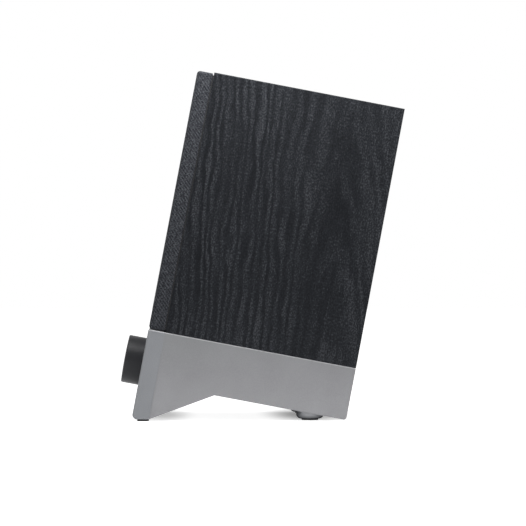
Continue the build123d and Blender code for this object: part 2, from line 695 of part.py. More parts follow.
# Crossover on spacers over the bottom panel
crossover_middle = (crossover_front + crossover_back) / 2
crossover_y = (crossover_front, crossover_back)
crossover_z = (crossover_bottom, crossover_top)
put("crossover_board", block((-crossover_half, crossover_half), crossover_y, crossover_z))
inductor_z = (crossover_top, crossover_top + INDUCTOR_HEIGHT)
inductor = post(INDUCTOR_RADIUS, inductor_z, (INDUCTOR_X, crossover_middle))
inductor_hole = (crossover_top - 1, crossover_top + INDUCTOR_HEIGHT + 1)
put("crossover_inductor", inductor - post(INDUCTOR_BORE, inductor_hole, (INDUCTOR_X, crossover_middle)))
capacitor_z = (crossover_top, crossover_top + CAPACITOR_HEIGHT)
capacitor_places = [(CAPACITOR_X + turn * CAPACITOR_PITCH, crossover_middle + SPACER_INSET) for turn in range(2)]
put("crossover_capacitors", *[post(CAPACITOR_RADIUS, capacitor_z, place) for place in capacitor_places])
spacers = []
for x in (-crossover_half + SPACER_INSET, crossover_half - SPACER_INSET):
    for y in (crossover_front + SPACER_INSET, crossover_back - SPACER_INSET):
        spacers.append(post(SPACER_RADIUS, (PANEL, crossover_bottom), (x, y)))

# Base casting: a front plate with the leg, and a drafted body behind it
def sole(y):
    """The height of the leg's sole, which lies level on its pads, at a depth."""
    return (FRONT_PAD - stand + y * lean_sin) / lean_cos


def drafted(wall):
    """The room between the drafted sides, drawn in by a wall."""
    low = sole(0) - 1
    low_half = half + low * tan(radians(BASE_DRAFT)) - wall
    high_half = half - wall
    face = polygon((-high_half, 0), (high_half, 0), (low_half, low), (-low_half, low))
    return along(face, (-1, back + 1))


plate = across([(0, 0), (front, 0), (front, sole(front)), (0, sole(0))], half)
plate = fillet(plate.edges().filter_by(Axis.X).sort_by(Axis.Z)[0], TOE_RADIUS)
plate_sides = plate.faces().sort_by(Axis.Y)[0].edges().filter_by(Axis.X, reverse=True)
plate = fillet(plate_sides, BASE_EDGE)
plate_top = plate.faces().sort_by(Axis.Z)[-1].edges().sort_by(Axis.Y)[:-1]
plate = chamfer(plate_top, BASE_TOP_EDGE)
body_outline = [
    (front / 2, 0), (back, 0), (back, -BASE_HEIGHT), (NOTCH_DEPTH, -BASE_HEIGHT),
    (front, sole(front)), (front / 2, sole(front)),
]
body = across(body_outline, half) & drafted(0)
heel = body.edges().filter_by(Axis.X).group_by(Axis.Y)[-1].sort_by(Axis.Z)[0]
body = fillet(heel, HEEL_RADIUS)
body_sides = body.faces().sort_by(Axis.Y)[-1].edges().filter_by(Axis.X, reverse=True)
body = fillet(body_sides, BASE_EDGE)
body_top = body.faces().sort_by(Axis.Z)[-1].edges().sort_by(Axis.Y)[1:]
body = chamfer(body_top, BASE_TOP_EDGE)
outline = [
    (0, 0), (back, 0), (back, -BASE_HEIGHT), (NOTCH_DEPTH, -BASE_HEIGHT), (front, sole(front)), (0, sole(0))
]
hollow = offset(polygon(*outline), amount=-BASE_WALL, kind=Kind.INTERSECTION)
hollow = extrude(Plane.YZ * hollow, half, both=True)
hollow += block((-half, half), (back - BASE_WALL - 1, back + 1), (-BASE_HEIGHT + BASE_WALL, -BASE_WALL))
casting = plate + body - (hollow & drafted(BASE_WALL))
cover_hole_z = (-BASE_HEIGHT - 1, -BASE_HEIGHT + BASE_WALL + 1)
casting -= block((-opening_half, opening_half), (cover_front, cover_back), cover_hole_z)
for place in cover_screw_places:
    casting += post(POST_RADIUS, (cover_top, -BASE_WALL / 2), place)
boss_z = (panel_screw_z - BOSS_HALF, panel_screw_z + BOSS_HALF)
for side in (-1, 1):
    boss_x = sorted((side * (panel_screw_x - BOSS_HALF), side * (half - BASE_WALL)))
    casting += block(boss_x, (panel_front - BOSS_DEPTH, panel_front), boss_z)
    boss_hole = (panel_front + CONNECTOR_PANEL - CASE_SCREW[1] - GLUE, panel_front + 1)
    casting -= rod(CASE_SCREW[0] + GLUE, boss_hole, (side * panel_screw_x, panel_screw_z))
for place in cover_screw_places:
    casting -= post(CASE_SCREW[0] + GLUE, (cover_top - 1, -BASE_HEIGHT + CASE_SCREW[1] + GLUE), place)
for place in cabinet_screw_places:
    casting -= post(CABINET_SCREW[0] + FIT, (-BASE_WALL - 1, 1), place)
casting -= post(LEAD_HOLE, (-BASE_WALL - 1, 1), (supply_x, lead_y))
casting -= rod(BUSH_RADIUS + FIT, (-1, BASE_WALL + 1), (0, knob_z))
put("base_casting", casting)

# Bottom cover and connector panel
cover_y = (cover_front + FIT, cover_back - FIT)
cover = block((FIT - opening_half, opening_half - FIT), cover_y, (-BASE_HEIGHT, cover_top))
cover_screws = [Pos(x, y, -BASE_HEIGHT) for x, y in cover_screw_places]
foot_screws = [Pos(x, y, cover_top) * Rot(180, 0, 0) for x, y in foot_places]
for place in cover_screws + foot_screws:
    cover -= place * countersunk(CASE_SCREW, GLUE)
put("bottom_cover", cover)
jack_z = board_top + JACK_HEIGHT
row = PHONO_PITCH * (PHONO_COUNT - 1) + AUDIO_STEP + POWER_STEP
phono_places = [(-row / 2 + turn * PHONO_PITCH, jack_z) for turn in range(PHONO_COUNT)]
audio_x = phono_places[-1][0] + AUDIO_STEP
power_x = audio_x + POWER_STEP
connector_z = (-BASE_HEIGHT + BASE_WALL + FIT, -BASE_WALL - FIT)
connector = block((-half, half), (panel_front, panel_back), connector_z) & drafted(BASE_WALL + FIT)
through_panel = (panel_front - 1, panel_back + 1)
shoulder = PHONO_RADIUS + PHONO_SHOULDER
for place in phono_places:
    connector -= rod(shoulder + FIT, through_panel, place)
connector -= rod(AUDIO_NOSE + FIT, through_panel, (audio_x, jack_z))
connector -= rod(POWER_NOSE + FIT, through_panel, (power_x, jack_z))
panel_screws = [Pos(x, panel_back, panel_screw_z) * Rot(90, 0, 0) for x in (-panel_screw_x, panel_screw_x)]
for place in panel_screws:
    connector -= place * countersunk(CASE_SCREW, GLUE)
put("connector_panel", connector)
put("case_screws", *[place * flat_screw(CASE_SCREW) for place in cover_screws + panel_screws + foot_screws])
cabinet_screws = [Pos(x, y, -BASE_WALL) * pan_screw(CABINET_SCREW) for x, y in cabinet_screw_places]
put("cabinet_screws", *cabinet_screws)

# Rear feet, which stand upright on the desk, and the pads of all feet
feet = []
pads = []
above_base = lean * block((-half, half), (-1, back + 1), (-BASE_HEIGHT, CABINET_HEIGHT))
for x, y in foot_places:
    seat_y = y * lean_cos - BASE_HEIGHT * lean_sin
    foot = post(FOOT_RADIUS, (FOOT_PAD_SHOW, BASE_HEIGHT), (x, seat_y))
    foot = fillet(foot.faces().sort_by(Axis.Z)[0].edges(), FOOT_ROUND)
    recess_top = FOOT_PAD_SHOW + FOOT_PAD_RECESS
    foot -= post(FOOT_PAD_RADIUS + GLUE, (0, recess_top), (x, seat_y))
    foot = lean.inverse() * (foot - above_base)
    screw_z = (cover_top - CASE_SCREW[1] - GLUE, -BASE_HEIGHT + 1)
    feet.append(foot - post(CASE_SCREW[0] + GLUE, screw_z, (x, y)))
    pads.append(lean.inverse() * post(FOOT_PAD_RADIUS, (0, recess_top), (x, seat_y)))
put("rear_feet", *feet)
sole_front = sole(0) * lean_sin + TOE_RADIUS / tan(radians((90 - TILT) / 2))
sole_back = front * lean_cos + sole(front) * lean_sin
pad_out = half - FRONT_PAD_INSET
for side in (-1, 1):
    pad_x = sorted((side * pad_out, side * (pad_out - FRONT_PAD_LENGTH)))
    pads.append(lean.inverse() * block(pad_x, (sole_front, sole_back), (0, FRONT_PAD)))
put("foot_pads", *pads)

# Volume control through the base's front, and its knob
control_back = BASE_WALL + CONTROL_DEPTH
control_box = (knob_z - CONTROL_HALF, knob_z + CONTROL_HALF)
control = block((-CONTROL_HALF, CONTROL_HALF), (BASE_WALL, control_back), control_box)
control += rod(BUSH_RADIUS, (-BUSH_OUT, BASE_WALL), (0, knob_z))
control -= rod(SHAFT_RADIUS + RUNNING_FIT, (-BUSH_OUT - 1, BASE_WALL + CONTROL_WALL + 1), (0, knob_z))
control_room = (BASE_WALL + CONTROL_WALL, control_back - CONTROL_WALL)
control -= rod(ROTOR_RADIUS + FIT, control_room, (0, knob_z))
put("volume_control", control)
nut_face = Pos(0, knob_z) * RegularPolygon(NUT_HALF, 6, major_radius=False)
nut = along(nut_face, (-NUT_THICKNESS, 0)) - rod(BUSH_RADIUS + GLUE, (-NUT_THICKNESS - 1, 1), (0, knob_z))
put("control_nut", nut)
shaft_end = -KNOB_REACH + KNOB_FACE + FIT
shaft = rod(SHAFT_RADIUS, (shaft_end, control_room[1] - FIT), (0, knob_z))
shaft += rod(ROTOR_RADIUS, (control_room[0] + FIT, control_room[1] - FIT), (0, knob_z))
put("control_shaft", shaft)
rim = KNOB_RADIUS - KNOB_EDGE
rim_front = -KNOB_REACH + KNOB_DOME
rim_turn = KNOB_EDGE * (1 - cos(radians(45)))
bore = SHAFT_RADIUS + GLUE
recess = KNOB_RADIUS - KNOB_SKIRT
recess_front = -BUSH_OUT - FIT * 2
bore_front = -KNOB_REACH + KNOB_FACE
knob_profile = make_face([
    dome_arc(rim, rim_front, KNOB_DOME),
    ThreePointArc(
        (rim, rim_front), (KNOB_RADIUS - rim_turn, rim_front + rim_turn), (KNOB_RADIUS, rim_front + KNOB_EDGE)
    ),
    Line((KNOB_RADIUS, rim_front + KNOB_EDGE), (KNOB_RADIUS, -KNOB_GAP)),
    Line((KNOB_RADIUS, -KNOB_GAP), (recess, -KNOB_GAP)),
    Line((recess, -KNOB_GAP), (recess, recess_front)),
    Line((recess, recess_front), (bore, recess_front)),
    Line((bore, recess_front), (bore, bore_front)),
    Line((bore, bore_front), (0, bore_front)),
    Line((0, bore_front), (0, -KNOB_REACH)),
])
knob = Pos(0, 0, knob_z) * revolve(knob_profile, axis=Axis.Y)
mark_top = knob_z + rim - KNOB_EDGE
mark = block((-KNOB_DOME, KNOB_DOME), (-KNOB_REACH - 1, -KNOB_REACH + 2 * KNOB_DOME), (mark_top - KNOB_MARK, mark_top))
put("knob", knob - mark)

# Amplifier board and what stands on it
board_y = (board_front, panel_front - FIT)
put("main_board", block((-board_half, board_half), board_y, (board_bottom, board_top)))
for x in (-MAIN_SPACER_X, MAIN_SPACER_X):
    for y in (board_front + SPACER_INSET, panel_front - SPACER_INSET):
        spacers.append(post(SPACER_RADIUS, (cover_top, board_bottom), (x, y)))
put("board_spacers", *spacers)
sink_front = board_front + SINK_SETBACK
sink_y = (sink_front, sink_front + SINK_DEPTH)
sink_middle = sink_front + SINK_DEPTH / 2
chip_y = (sink_middle - CHIP_HALF, sink_middle + CHIP_HALF)
chip_top = board_top + CHIP
put("amplifier_chip", block((-CHIP_HALF, CHIP_HALF), chip_y, (board_top, chip_top)))
sink = block((-SINK_HALF, SINK_HALF), sink_y, (chip_top, chip_top + SINK_PLATE))
fin_step = (2 * SINK_HALF - FIN) / (FINS - 1)
for turn in range(FINS):
    fin_x = -SINK_HALF + turn * fin_step
    sink += block((fin_x, fin_x + FIN), sink_y, (chip_top, chip_top + SINK_HEIGHT))
put("heat_sink", sink)
filter_places = [(FILTER_X, sink_front + FILTER_RADIUS + turn * FILTER_PITCH) for turn in range(2)]
filter_z = (board_top, board_top + FILTER_HEIGHT)
put("filter_capacitors", *[post(FILTER_RADIUS, filter_z, place) for place in filter_places])
header_y = (board_front, board_front + HEADER_DEPTH)
header_z = (board_top, board_top + HEADER_HEIGHT)
put("control_header", block((-HEADER_HALF, HEADER_HALF), header_y, header_z))

# Connectors on the board's rear edge, through the connector panel
jack_y = (panel_front - JACK_DEPTH, panel_front)
housing_z = (board_top, board_top + JACK_HOUSING)
phono_x = (phono_places[0][0] - PHONO_HALF, phono_places[-1][0] + PHONO_HALF)
put("phono_housing", block(phono_x, jack_y, housing_z))
collar_back = panel_back + COLLAR
barrel_in = PHONO_RADIUS - PHONO_WALL
barrels = []
insulators = []
for place in phono_places:
    root = tube(shoulder, barrel_in, (panel_front, collar_back), place)
    barrels.append(root + tube(PHONO_RADIUS, barrel_in, (panel_front, panel_back + PHONO_OUT), place))
    insulators.append(tube(COLLAR_RADIUS, shoulder + GLUE, (panel_back, collar_back), place))
    core_y = (panel_front, panel_back + PHONO_CORE)
    insulators.append(tube(barrel_in - GLUE, PHONO_CONTACT, core_y, place))
put("phono_barrels", *barrels)
put("phono_insulators", *insulators)
audio_face = panel_back + AUDIO_NOSE_OUT
audio = block((audio_x - AUDIO_HALF, audio_x + AUDIO_HALF), jack_y, housing_z)
audio += rod(AUDIO_NOSE, (panel_front - 1, audio_face), (audio_x, jack_z))
put("audio_jack", audio - rod(AUDIO_BORE, (audio_face - AUDIO_DEPTH, audio_face + 1), (audio_x, jack_z)))
power_face = panel_back + POWER_NOSE_OUT
power = block((power_x - POWER_HALF, power_x + POWER_HALF), jack_y, housing_z)
power += rod(POWER_NOSE, (panel_front - 1, power_face), (power_x, jack_z))
power -= rod(POWER_BORE, (power_face - POWER_DEPTH, power_face + 1), (power_x, jack_z))
power += rod(POWER_PIN, (power_face - POWER_DEPTH - 1, power_face - POWER_PIN_SHORT), (power_x, jack_z))
put("power_jack", power)

# Leads: amplifier to crossover, crossover to drivers, volume control to board
pair = (-LEAD_PITCH / 2, LEAD_PITCH / 2)
amplifier_z = (board_top, crossover_bottom)
put("amplifier_leads", *[post(LEAD_RADIUS, amplifier_z, (supply_x + step, lead_y)) for step in pair])
woofer_lead_start = front + BASKET_DEPTH + TAB_LENGTH
tweeter_lead_start = front + CUP_DEPTH
driver_leads = []
for side in (-1, 1):
    tab_z = woofer_z + side * TAB_PITCH / 2
    drop_y = lead_y + LEAD_PITCH * (2 + side)
    driver_leads.append(lead(
        [(shelf_out, woofer_lead_start, tab_z), (shelf_out, drop_y, tab_z), (shelf_out, drop_y, crossover_top)],
        LEAD_RADIUS, LEAD_BEND,
    ))
    lead_x = side * TWEETER_LEAD_X
    driver_leads.append(lead(
        [(lead_x, tweeter_lead_start, tweeter_z), (lead_x, lead_y, tweeter_z), (lead_x, lead_y, crossover_top)],
        LEAD_RADIUS, LEAD_BEND,
    ))
put("driver_leads", *driver_leads)
control_leads = []
for turn in (-1, 0, 1):
    place = (turn * CONTROL_LEAD_PITCH, knob_z)
    control_leads.append(rod(CONTROL_LEAD_RADIUS, (control_back, board_front), place))
put("control_leads", *control_leads)

# Stand the pieces on the desk, with the origin under the middle of the whole object
front_most = min((lean * solid).bounding_box().min.Y for solid in pieces["knob"])
back_most = max((lean * solid).bounding_box().max.Y for solid in pieces["top_panel"])
desk = Pos(0, -(front_most + back_most) / 2, 0) * lean

if __name__ == "__main__":
    os.makedirs("parts", exist_ok=True)
    for name, solids in pieces.items():
        placed = [desk * solid for solid in solids]
        export_step(placed[0] if len(placed) == 1 else Compound(children=placed), f"parts/{name}.step")
    print("pieces", len(pieces), "lead bend radius", LEAD_BEND)
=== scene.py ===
# %% [markdown]
# # A desktop loudspeaker that leans back on a cast base
# The imported CAD model already holds every rigid piece at its true place and size, so this lesson
# adds what CAD leaves out: a camera and light like the photograph's, a finish for every piece, and
# new meshes for the soft pieces, which CAD can only show as stiff blocks. We measure the model's box
# at the start.

# %% Load the imported model
from functools import partial
from math import cos, pi, radians, sin

import bmesh
import bpy
import numpy as np
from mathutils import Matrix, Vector


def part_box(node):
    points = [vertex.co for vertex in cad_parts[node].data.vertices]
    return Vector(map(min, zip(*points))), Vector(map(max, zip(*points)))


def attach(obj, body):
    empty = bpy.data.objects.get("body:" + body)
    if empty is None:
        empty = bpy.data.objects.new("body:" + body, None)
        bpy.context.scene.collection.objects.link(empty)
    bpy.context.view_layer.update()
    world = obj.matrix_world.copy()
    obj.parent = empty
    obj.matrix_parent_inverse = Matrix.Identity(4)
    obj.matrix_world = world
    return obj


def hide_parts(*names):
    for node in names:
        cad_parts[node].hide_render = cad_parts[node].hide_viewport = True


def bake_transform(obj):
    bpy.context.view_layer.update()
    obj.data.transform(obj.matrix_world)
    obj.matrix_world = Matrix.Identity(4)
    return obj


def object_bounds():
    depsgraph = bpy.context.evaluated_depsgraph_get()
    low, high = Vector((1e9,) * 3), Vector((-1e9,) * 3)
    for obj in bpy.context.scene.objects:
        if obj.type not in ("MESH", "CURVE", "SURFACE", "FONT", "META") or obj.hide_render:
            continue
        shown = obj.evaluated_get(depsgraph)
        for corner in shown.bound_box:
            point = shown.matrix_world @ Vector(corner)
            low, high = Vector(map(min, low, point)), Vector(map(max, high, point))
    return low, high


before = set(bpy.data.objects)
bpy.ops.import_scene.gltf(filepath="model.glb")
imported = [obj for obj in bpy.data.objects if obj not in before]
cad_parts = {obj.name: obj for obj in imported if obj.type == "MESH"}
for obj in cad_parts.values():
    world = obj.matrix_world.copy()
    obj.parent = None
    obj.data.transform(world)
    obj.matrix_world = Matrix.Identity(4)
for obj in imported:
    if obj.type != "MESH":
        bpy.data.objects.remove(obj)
cad_low, cad_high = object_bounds()
scene = bpy.context.scene
print("pieces from CAD:", len(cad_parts))
print("box in mm:", [round(1000 * side, 1) for side in cad_high - cad_low])

# %% [markdown]
# ## A ruler that leans with the cabinet
# Everything above the feet leans back by 10.7 degrees, so sizes are easiest to read along the
# cabinet: x to the right, y from the grille's face to the back, z up from the joint between cabinet
# and base. We could turn every mesh afterwards, but a small function that turns a place in leaning
# millimetres into the desk's metres keeps the objects themselves at the origin, as the frame needs.

# %% From leaning millimetres to the desk
MM = 0.001
LEAN = radians(10.7)
BACK, TALL, HALF = 139.2, 174.4, 66.0
BASE_TALL, REAR_GAP = 34.8, 0.5
BAFFLE_FACE = 11.2
JOINT = Vector((
    0,
    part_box("top_panel")[1].y - MM * (BACK * cos(LEAN) + TALL * sin(LEAN)),
    MM * (REAR_GAP + BACK * sin(LEAN) + BASE_TALL * cos(LEAN)),
))


def leaned(points):
    """Places in leaning millimetres, one row each, as places on the desk in metres."""
    x, y, z = np.asarray(points, float).reshape(-1, 3).T
    turned = np.stack([x, y * cos(LEAN) + z * sin(LEAN), z * cos(LEAN) - y * sin(LEAN)], axis=1)
    return MM * turned + np.array(JOINT)


print("joint of cabinet and base on the desk, mm:", [round(1000 * value, 2) for value in JOINT])

# %% [markdown]
# ## The camera
# The photograph looks square at the right side through a long lens, so hardly any other face shows.
# The near side panel is drawn at about 0.66 mm to a pixel. The far rear foot peeps out a little in
# front of the near one, which tells that the eye stands about 1.7 m away, in line with a point near
# the grille's foot. We place the eye there, and aim it at the middle of the picture.

# %% Set up the camera
PICTURE = 526
PIXEL = 0.659 * MM
JOINT_COLUMN, JOINT_ROW = 148.55, 329.2
EYE_COLUMN, EYE_ROW, EYE_DISTANCE = 179, 288, 1.7
SENSOR = 36


def on_near_side(column, row):
    """The place on the near side panel that the photograph shows at a pixel."""
    along, down = (column - JOINT_COLUMN) * PIXEL, (row - JOINT_ROW) * PIXEL
    return Vector((HALF * MM, JOINT.y + along, JOINT.z - down))


eye = on_near_side(EYE_COLUMN, EYE_ROW) + Vector((EYE_DISTANCE, 0, 0))
aim = on_near_side(PICTURE / 2, PICTURE / 2)
camera = bpy.data.objects.new("camera", bpy.data.cameras.new("camera"))
scene.collection.objects.link(camera)
camera.location = eye
camera.rotation_euler = (aim - eye).to_track_quat("-Z", "Y").to_euler()
camera.data.sensor_width = SENSOR
camera.data.lens = SENSOR * (aim - eye).length / PIXEL / PICTURE
camera.data.clip_end = 50
scene.camera = camera
print("lens in mm:", round(camera.data.lens, 1))

# %% [markdown]
# ## A few words for shader nodes
# The sky, the floor and every finish are small nets of shader nodes. Written out in full, each node
# takes several lines, so we first make short words for the nodes that come back again and again. Plain
# numbers and colours go straight onto the shader's own sockets. Colours are written as they look in a
# picture, from 0 to 255, and turned into the linear light values that Blender counts in.

# %% Words for colours and nodes


def shade(red, green, blue):
    """A colour as seen in a picture, as linear light, by the sRGB curve."""
    parts = [part / 255 for part in (red, green, blue)]
    linear = [part / 12.92 if part <= 0.04045 else ((part + 0.055) / 1.055) ** 2.4 for part in parts]
    return (*linear, 1)


def scaled(colour, factor):
    """A colour made darker or lighter."""
    return (*[min(1, part * factor) for part in colour[:3]], 1)


def grey(level):
    """A plain level as a colour."""
    return (level, level, level, 1)


def plug(owner, value, socket):
    """Set a socket to a number or colour, or link another node to it."""
    if isinstance(value, bpy.types.NodeSocket):
        owner.node_tree.links.new(value, socket)
    else:
        socket.default_value = value


def dress(material, **values):
    """Give a material's shader its values; an underscore stands for a space."""
    sockets = material.node_tree.nodes["Principled BSDF"].inputs
    for name, value in values.items():
        plug(material, value, sockets[name.replace("_", " ")])
    return material


def new_finish(name, **values):
    """A new material with plain values on its shader."""
    material = bpy.data.materials.new(name)
    material.use_nodes = True
    return dress(material, **values)


def add(owner, kind, inputs=(), **settings):
    """Add a node to a material or a world, and give its first output."""
    node = owner.node_tree.nodes.new("ShaderNode" + kind)
    for name, value in settings.items():
        setattr(node, name, value)
    for name, value in dict(inputs).items():
        plug(owner, value, node.inputs[name])
    return node.outputs[0]


print("a middle grey in linear light:", round(shade(128, 128, 128)[0], 3))

# %% Words for sums, noise and places


def calc(owner, operation, *values):
    """Arithmetic on one to three numbers."""
    return add(owner, "Math", enumerate(values), operation=operation)


def noise(owner, place, scale, detail=2.0):
    """Cloudy variation from 0 to 1; scale counts clouds in a metre."""
    return add(owner, "TexNoise", {"Vector": place, "Scale": scale, "Detail": detail})


def tint(owner, factor, first, second):
    """Blend two colours."""
    return add(owner, "Mix", {0: factor, 6: first, 7: second}, data_type="RGBA").node.outputs[2]


def ramp(owner, factor, *stops):
    """Colours laid along a factor, as (place, colour) stops."""
    node = owner.node_tree.nodes.new("ShaderNodeValToRGB")
    band = node.color_ramp.elements
    band[0].position, band[0].color = stops[0]
    band[1].position, band[1].color = stops[-1]
    for place, colour in stops[1:-1]:
        band.new(place).color = colour
    plug(owner, factor, node.inputs[0])
    return node.outputs[0]


def curve(owner, factor, *stops):
    """Plain levels laid along a factor, as (place, level) stops."""
    return ramp(owner, factor, *[(place, grey(level)) for place, level in stops])


def span(owner, factor, low, high, start=0, end=1, **settings):
    """A number that goes from low to high while a factor goes from start to end."""
    inputs = {"Value": factor, "From Min": start, "From Max": end, "To Min": low, "To Max": high}
    return add(owner, "MapRange", inputs, **settings)


def vector_length(owner, vector):
    """How long a vector is."""
    return add(owner, "VectorMath", {0: vector}, operation="LENGTH").node.outputs["Value"]


def bump(owner, height, depth):
    """A relief of a height from 0 to 1, this many metres deep."""
    return add(owner, "Bump", {"Height": height, "Distance": depth, "Strength": 1.0})


def ruler(owner):
    """The leaning ruler in a material, in metres: the place, and its x, y and z."""
    node = owner.node_tree.nodes.new("ShaderNodeTexCoord")
    place = add(owner, "Mapping", {
        "Vector": node.outputs["Object"], "Location": JOINT, "Rotation": (-LEAN, 0, 0),
    }, vector_type="TEXTURE")
    return place, *add(owner, "SeparateXYZ", {"Vector": place}).node.outputs


def facing(owner, direction):
    """How far a face looks in a direction: 1 straight that way, 0 across it."""
    normal = owner.node_tree.nodes.new("ShaderNodeNewGeometry").outputs["Normal"]
    product = add(owner, "VectorMath", {0: normal, 1: direction}, operation="DOT_PRODUCT")
    return product.node.outputs["Value"]


print("shader words ready")

# %% [markdown]
# ## Light
# The object stands in soft light on pure white. A pale world lights it from all round, a wide
# softbox overhead and a small one close above the top give the upper edges their bright line, and a
# weaker one at the back fills the side that we see. To get a white ground without more light on the
# object, the world looks brighter only to rays that come straight from the camera, or by way of a
# mirror or glass.

# %% Set up the world
scene.view_settings.view_transform = "Standard"
WORLD_LIGHT = 0.3


def seen_directly(owner):
    """1 for rays from the camera, a mirror or glass, and 0 for rays that only carry light."""
    rays = owner.node_tree.nodes.new("ShaderNodeLightPath").outputs
    mirror_or_glass = calc(owner, "MAXIMUM", rays["Is Glossy Ray"], rays["Is Transmission Ray"])
    return calc(owner, "MAXIMUM", rays["Is Camera Ray"], mirror_or_glass)


world = bpy.data.worlds.new("studio")
world.use_nodes = True
scene.world = world
sky = world.node_tree.nodes["Background"].inputs
sky["Color"].default_value = grey(1)
plug(world, span(world, seen_directly(world), WORLD_LIGHT, 1), sky["Strength"])
print("light from the world:", WORLD_LIGHT)

# %% Hang the softboxes


def softbox(name, place, target, width, height, watts):
    """A rectangular lamp that faces a place."""
    lamp = bpy.data.objects.new(name, bpy.data.lights.new(name, "AREA"))
    lamp.data.shape = "RECTANGLE"
    lamp.data.size, lamp.data.size_y = width, height
    lamp.data.energy = watts
    lamp.visible_camera = False
    lamp.location = place
    lamp.rotation_euler = (Vector(target) - Vector(place)).to_track_quat("-Z", "Y").to_euler()
    scene.collection.objects.link(lamp)


softbox("overhead", place=(0.3, -0.1, 0.75), target=(0.3, -0.1, 0), width=0.8, height=0.8, watts=2.2)
softbox("top_light", place=(0.15, 0, 0.34), target=(0.05, 0.01, 0.22), width=0.14, height=0.2, watts=0.62)
middle = (cad_low + cad_high) / 2
softbox("rear_fill", place=(1.2, 0.9, 0.35), target=middle, width=1.0, height=0.6, watts=2.4)

# %% [markdown]
# ## White paper
# The floor is one large sheet of matt paper. It takes the object's own shadow, and a glow that only
# the eye sees lifts it towards white, as with the world. In the photograph the floor stays white in
# the middle of the notch, where light comes in from the near side, and turns grey beside the leg and
# the rear feet. So the paper glows less in two long soft ovals there, a painted shadow on top of the
# real one.

# %% Lay the floor
FLOOR_HALF = 9
floor_mesh = bpy.data.meshes.new("floor")
corners = [(FLOOR_HALF * x, FLOOR_HALF * y, 0) for x, y in ((-1, -1), (1, -1), (1, 1), (-1, 1))]
floor_mesh.from_pydata(corners, [], [(0, 1, 2, 3)])
floor = bpy.data.objects.new("floor", floor_mesh)
scene.collection.objects.link(floor)
print("floor, side in m:", 2 * FLOOR_HALF)

# %% Let the paper glow
PAPER_GLOW = 0.92
OVAL_X, BEHIND_LEG = -0.025, 0.009
paper = bpy.data.materials.new("white_paper")
paper.use_nodes = True
paper.node_tree.nodes.remove(paper.node_tree.nodes["Principled BSDF"])
on_paper = paper.node_tree.nodes.new("ShaderNodeTexCoord").outputs["Object"]


def painted_shadow_oval(centre, stretch, near, far, least):
    """A painted shadow: a number that grows from least to 1 with the distance from a place on the floor, from
    near to far.
    """
    oval = {"Vector": on_paper, "Location": centre, "Scale": stretch}
    distance = vector_length(paper, add(paper, "Mapping", oval, vector_type="TEXTURE"))
    return span(paper, distance, least, 1, near, far, interpolation_type="SMOOTHSTEP")


feet_low, feet_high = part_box("rear_feet")
under_feet = (OVAL_X, (feet_low.y + feet_high.y) / 2, 0)
under_leg = (OVAL_X, JOINT.y + BEHIND_LEG, 0)
strength = span(paper, seen_directly(paper), 0, PAPER_GLOW)
# painted shadows: the glow is dimmed in two soft ovals beside the leg and the rear feet
for painted_shadow in (
    painted_shadow_oval(under_feet, stretch=(3.6, 1, 1), near=0.006, far=0.036, least=0.3),
    painted_shadow_oval(under_leg, stretch=(5, 1, 1), near=0.002, far=0.026, least=0.5),
):
    strength = calc(paper, "MULTIPLY", strength, painted_shadow)
matt = add(paper, "BsdfDiffuse", {"Color": grey(0.95)})
glow = add(paper, "Emission", {"Strength": strength})
surface = paper.node_tree.nodes["Material Output"].inputs["Surface"]
plug(paper, add(paper, "AddShader", {0: matt, 1: glow}), surface)
floor_mesh.materials.append(paper)
print("glow is dimmed at y in mm:", [round(1000 * place[1]) for place in (under_leg, under_feet)])

# %% [markdown]
# ## Black ash veneer
# The cabinet wears one sheet of black-stained ash, folded over its mitred corners, so the grain runs
# up one side, across the top and down the other. In the front half the growth rings are fine upright
# bands. Towards the back they spread into tall pointed arches, as in a board cut near the heart of
# the tree. A picture of wood would be quicker, but a formula fits every panel: the rings are rounds
# about the heart of the trunk, which runs aslant a little below the sheet and slowly dives away from
# it. Noise makes the rings waver, and long thin pores add the open grain of ash. The wood round the
# heart is darker, and the sapwood at the foot lighter. Towards the rear each panel is lighter too,
# which is painted light that makes up for the lamps' light falling off towards the back. The panels'
# edges get narrow strips of straight-grained veneer, ironed on lengthwise.

# %% Growth rings about the heart
HEART_LINE, HEART_BELOW, HEART_DIVE = 0.110, 0.0187, 0.088
GRAIN_SLANT = 0.135
RING_WIDTH, RING_WAVER = 0.0049, 0.014


def along_grain(finish, run, y, stretch, scale, detail):
    """Noise drawn out along the grain."""
    place = add(finish, "CombineXYZ", {"X": y, "Y": calc(finish, "DIVIDE", run, stretch)})
    return noise(finish, place, scale, detail)


def growth_rings(finish, run, y):
    """Rings counted from the heart, the way from the heart's line, and a fine trembling."""
    do = partial(calc, finish)
    grain = partial(along_grain, finish, run, y)
    waver = do("SUBTRACT", grain(2.5, 30, 2.0), 0.5)
    tremble = do("SUBTRACT", grain(4.0, 190, 1.0), 0.5)
    heart_at_foot = HEART_LINE + GRAIN_SLANT * TALL * MM / 2
    aslant = do("MULTIPLY_ADD", run, GRAIN_SLANT, do("SUBTRACT", y, heart_at_foot))
    off_heart = do("MULTIPLY_ADD", waver, RING_WAVER, aslant)
    below = do("MULTIPLY_ADD", run, HEART_DIVE, HEART_BELOW)
    squares = do("MULTIPLY_ADD", below, below, do("MULTIPLY", off_heart, off_heart))
    return do("DIVIDE", do("SQRT", squares), RING_WIDTH), off_heart, tremble


print("rings in a cm of straight grain:", round(0.01 / RING_WIDTH, 1))

# %% Light and dark in the wood
HEART_SIZE, HEART_DARK = 0.59, -0.12
YEAR_CHANGE = 1.6


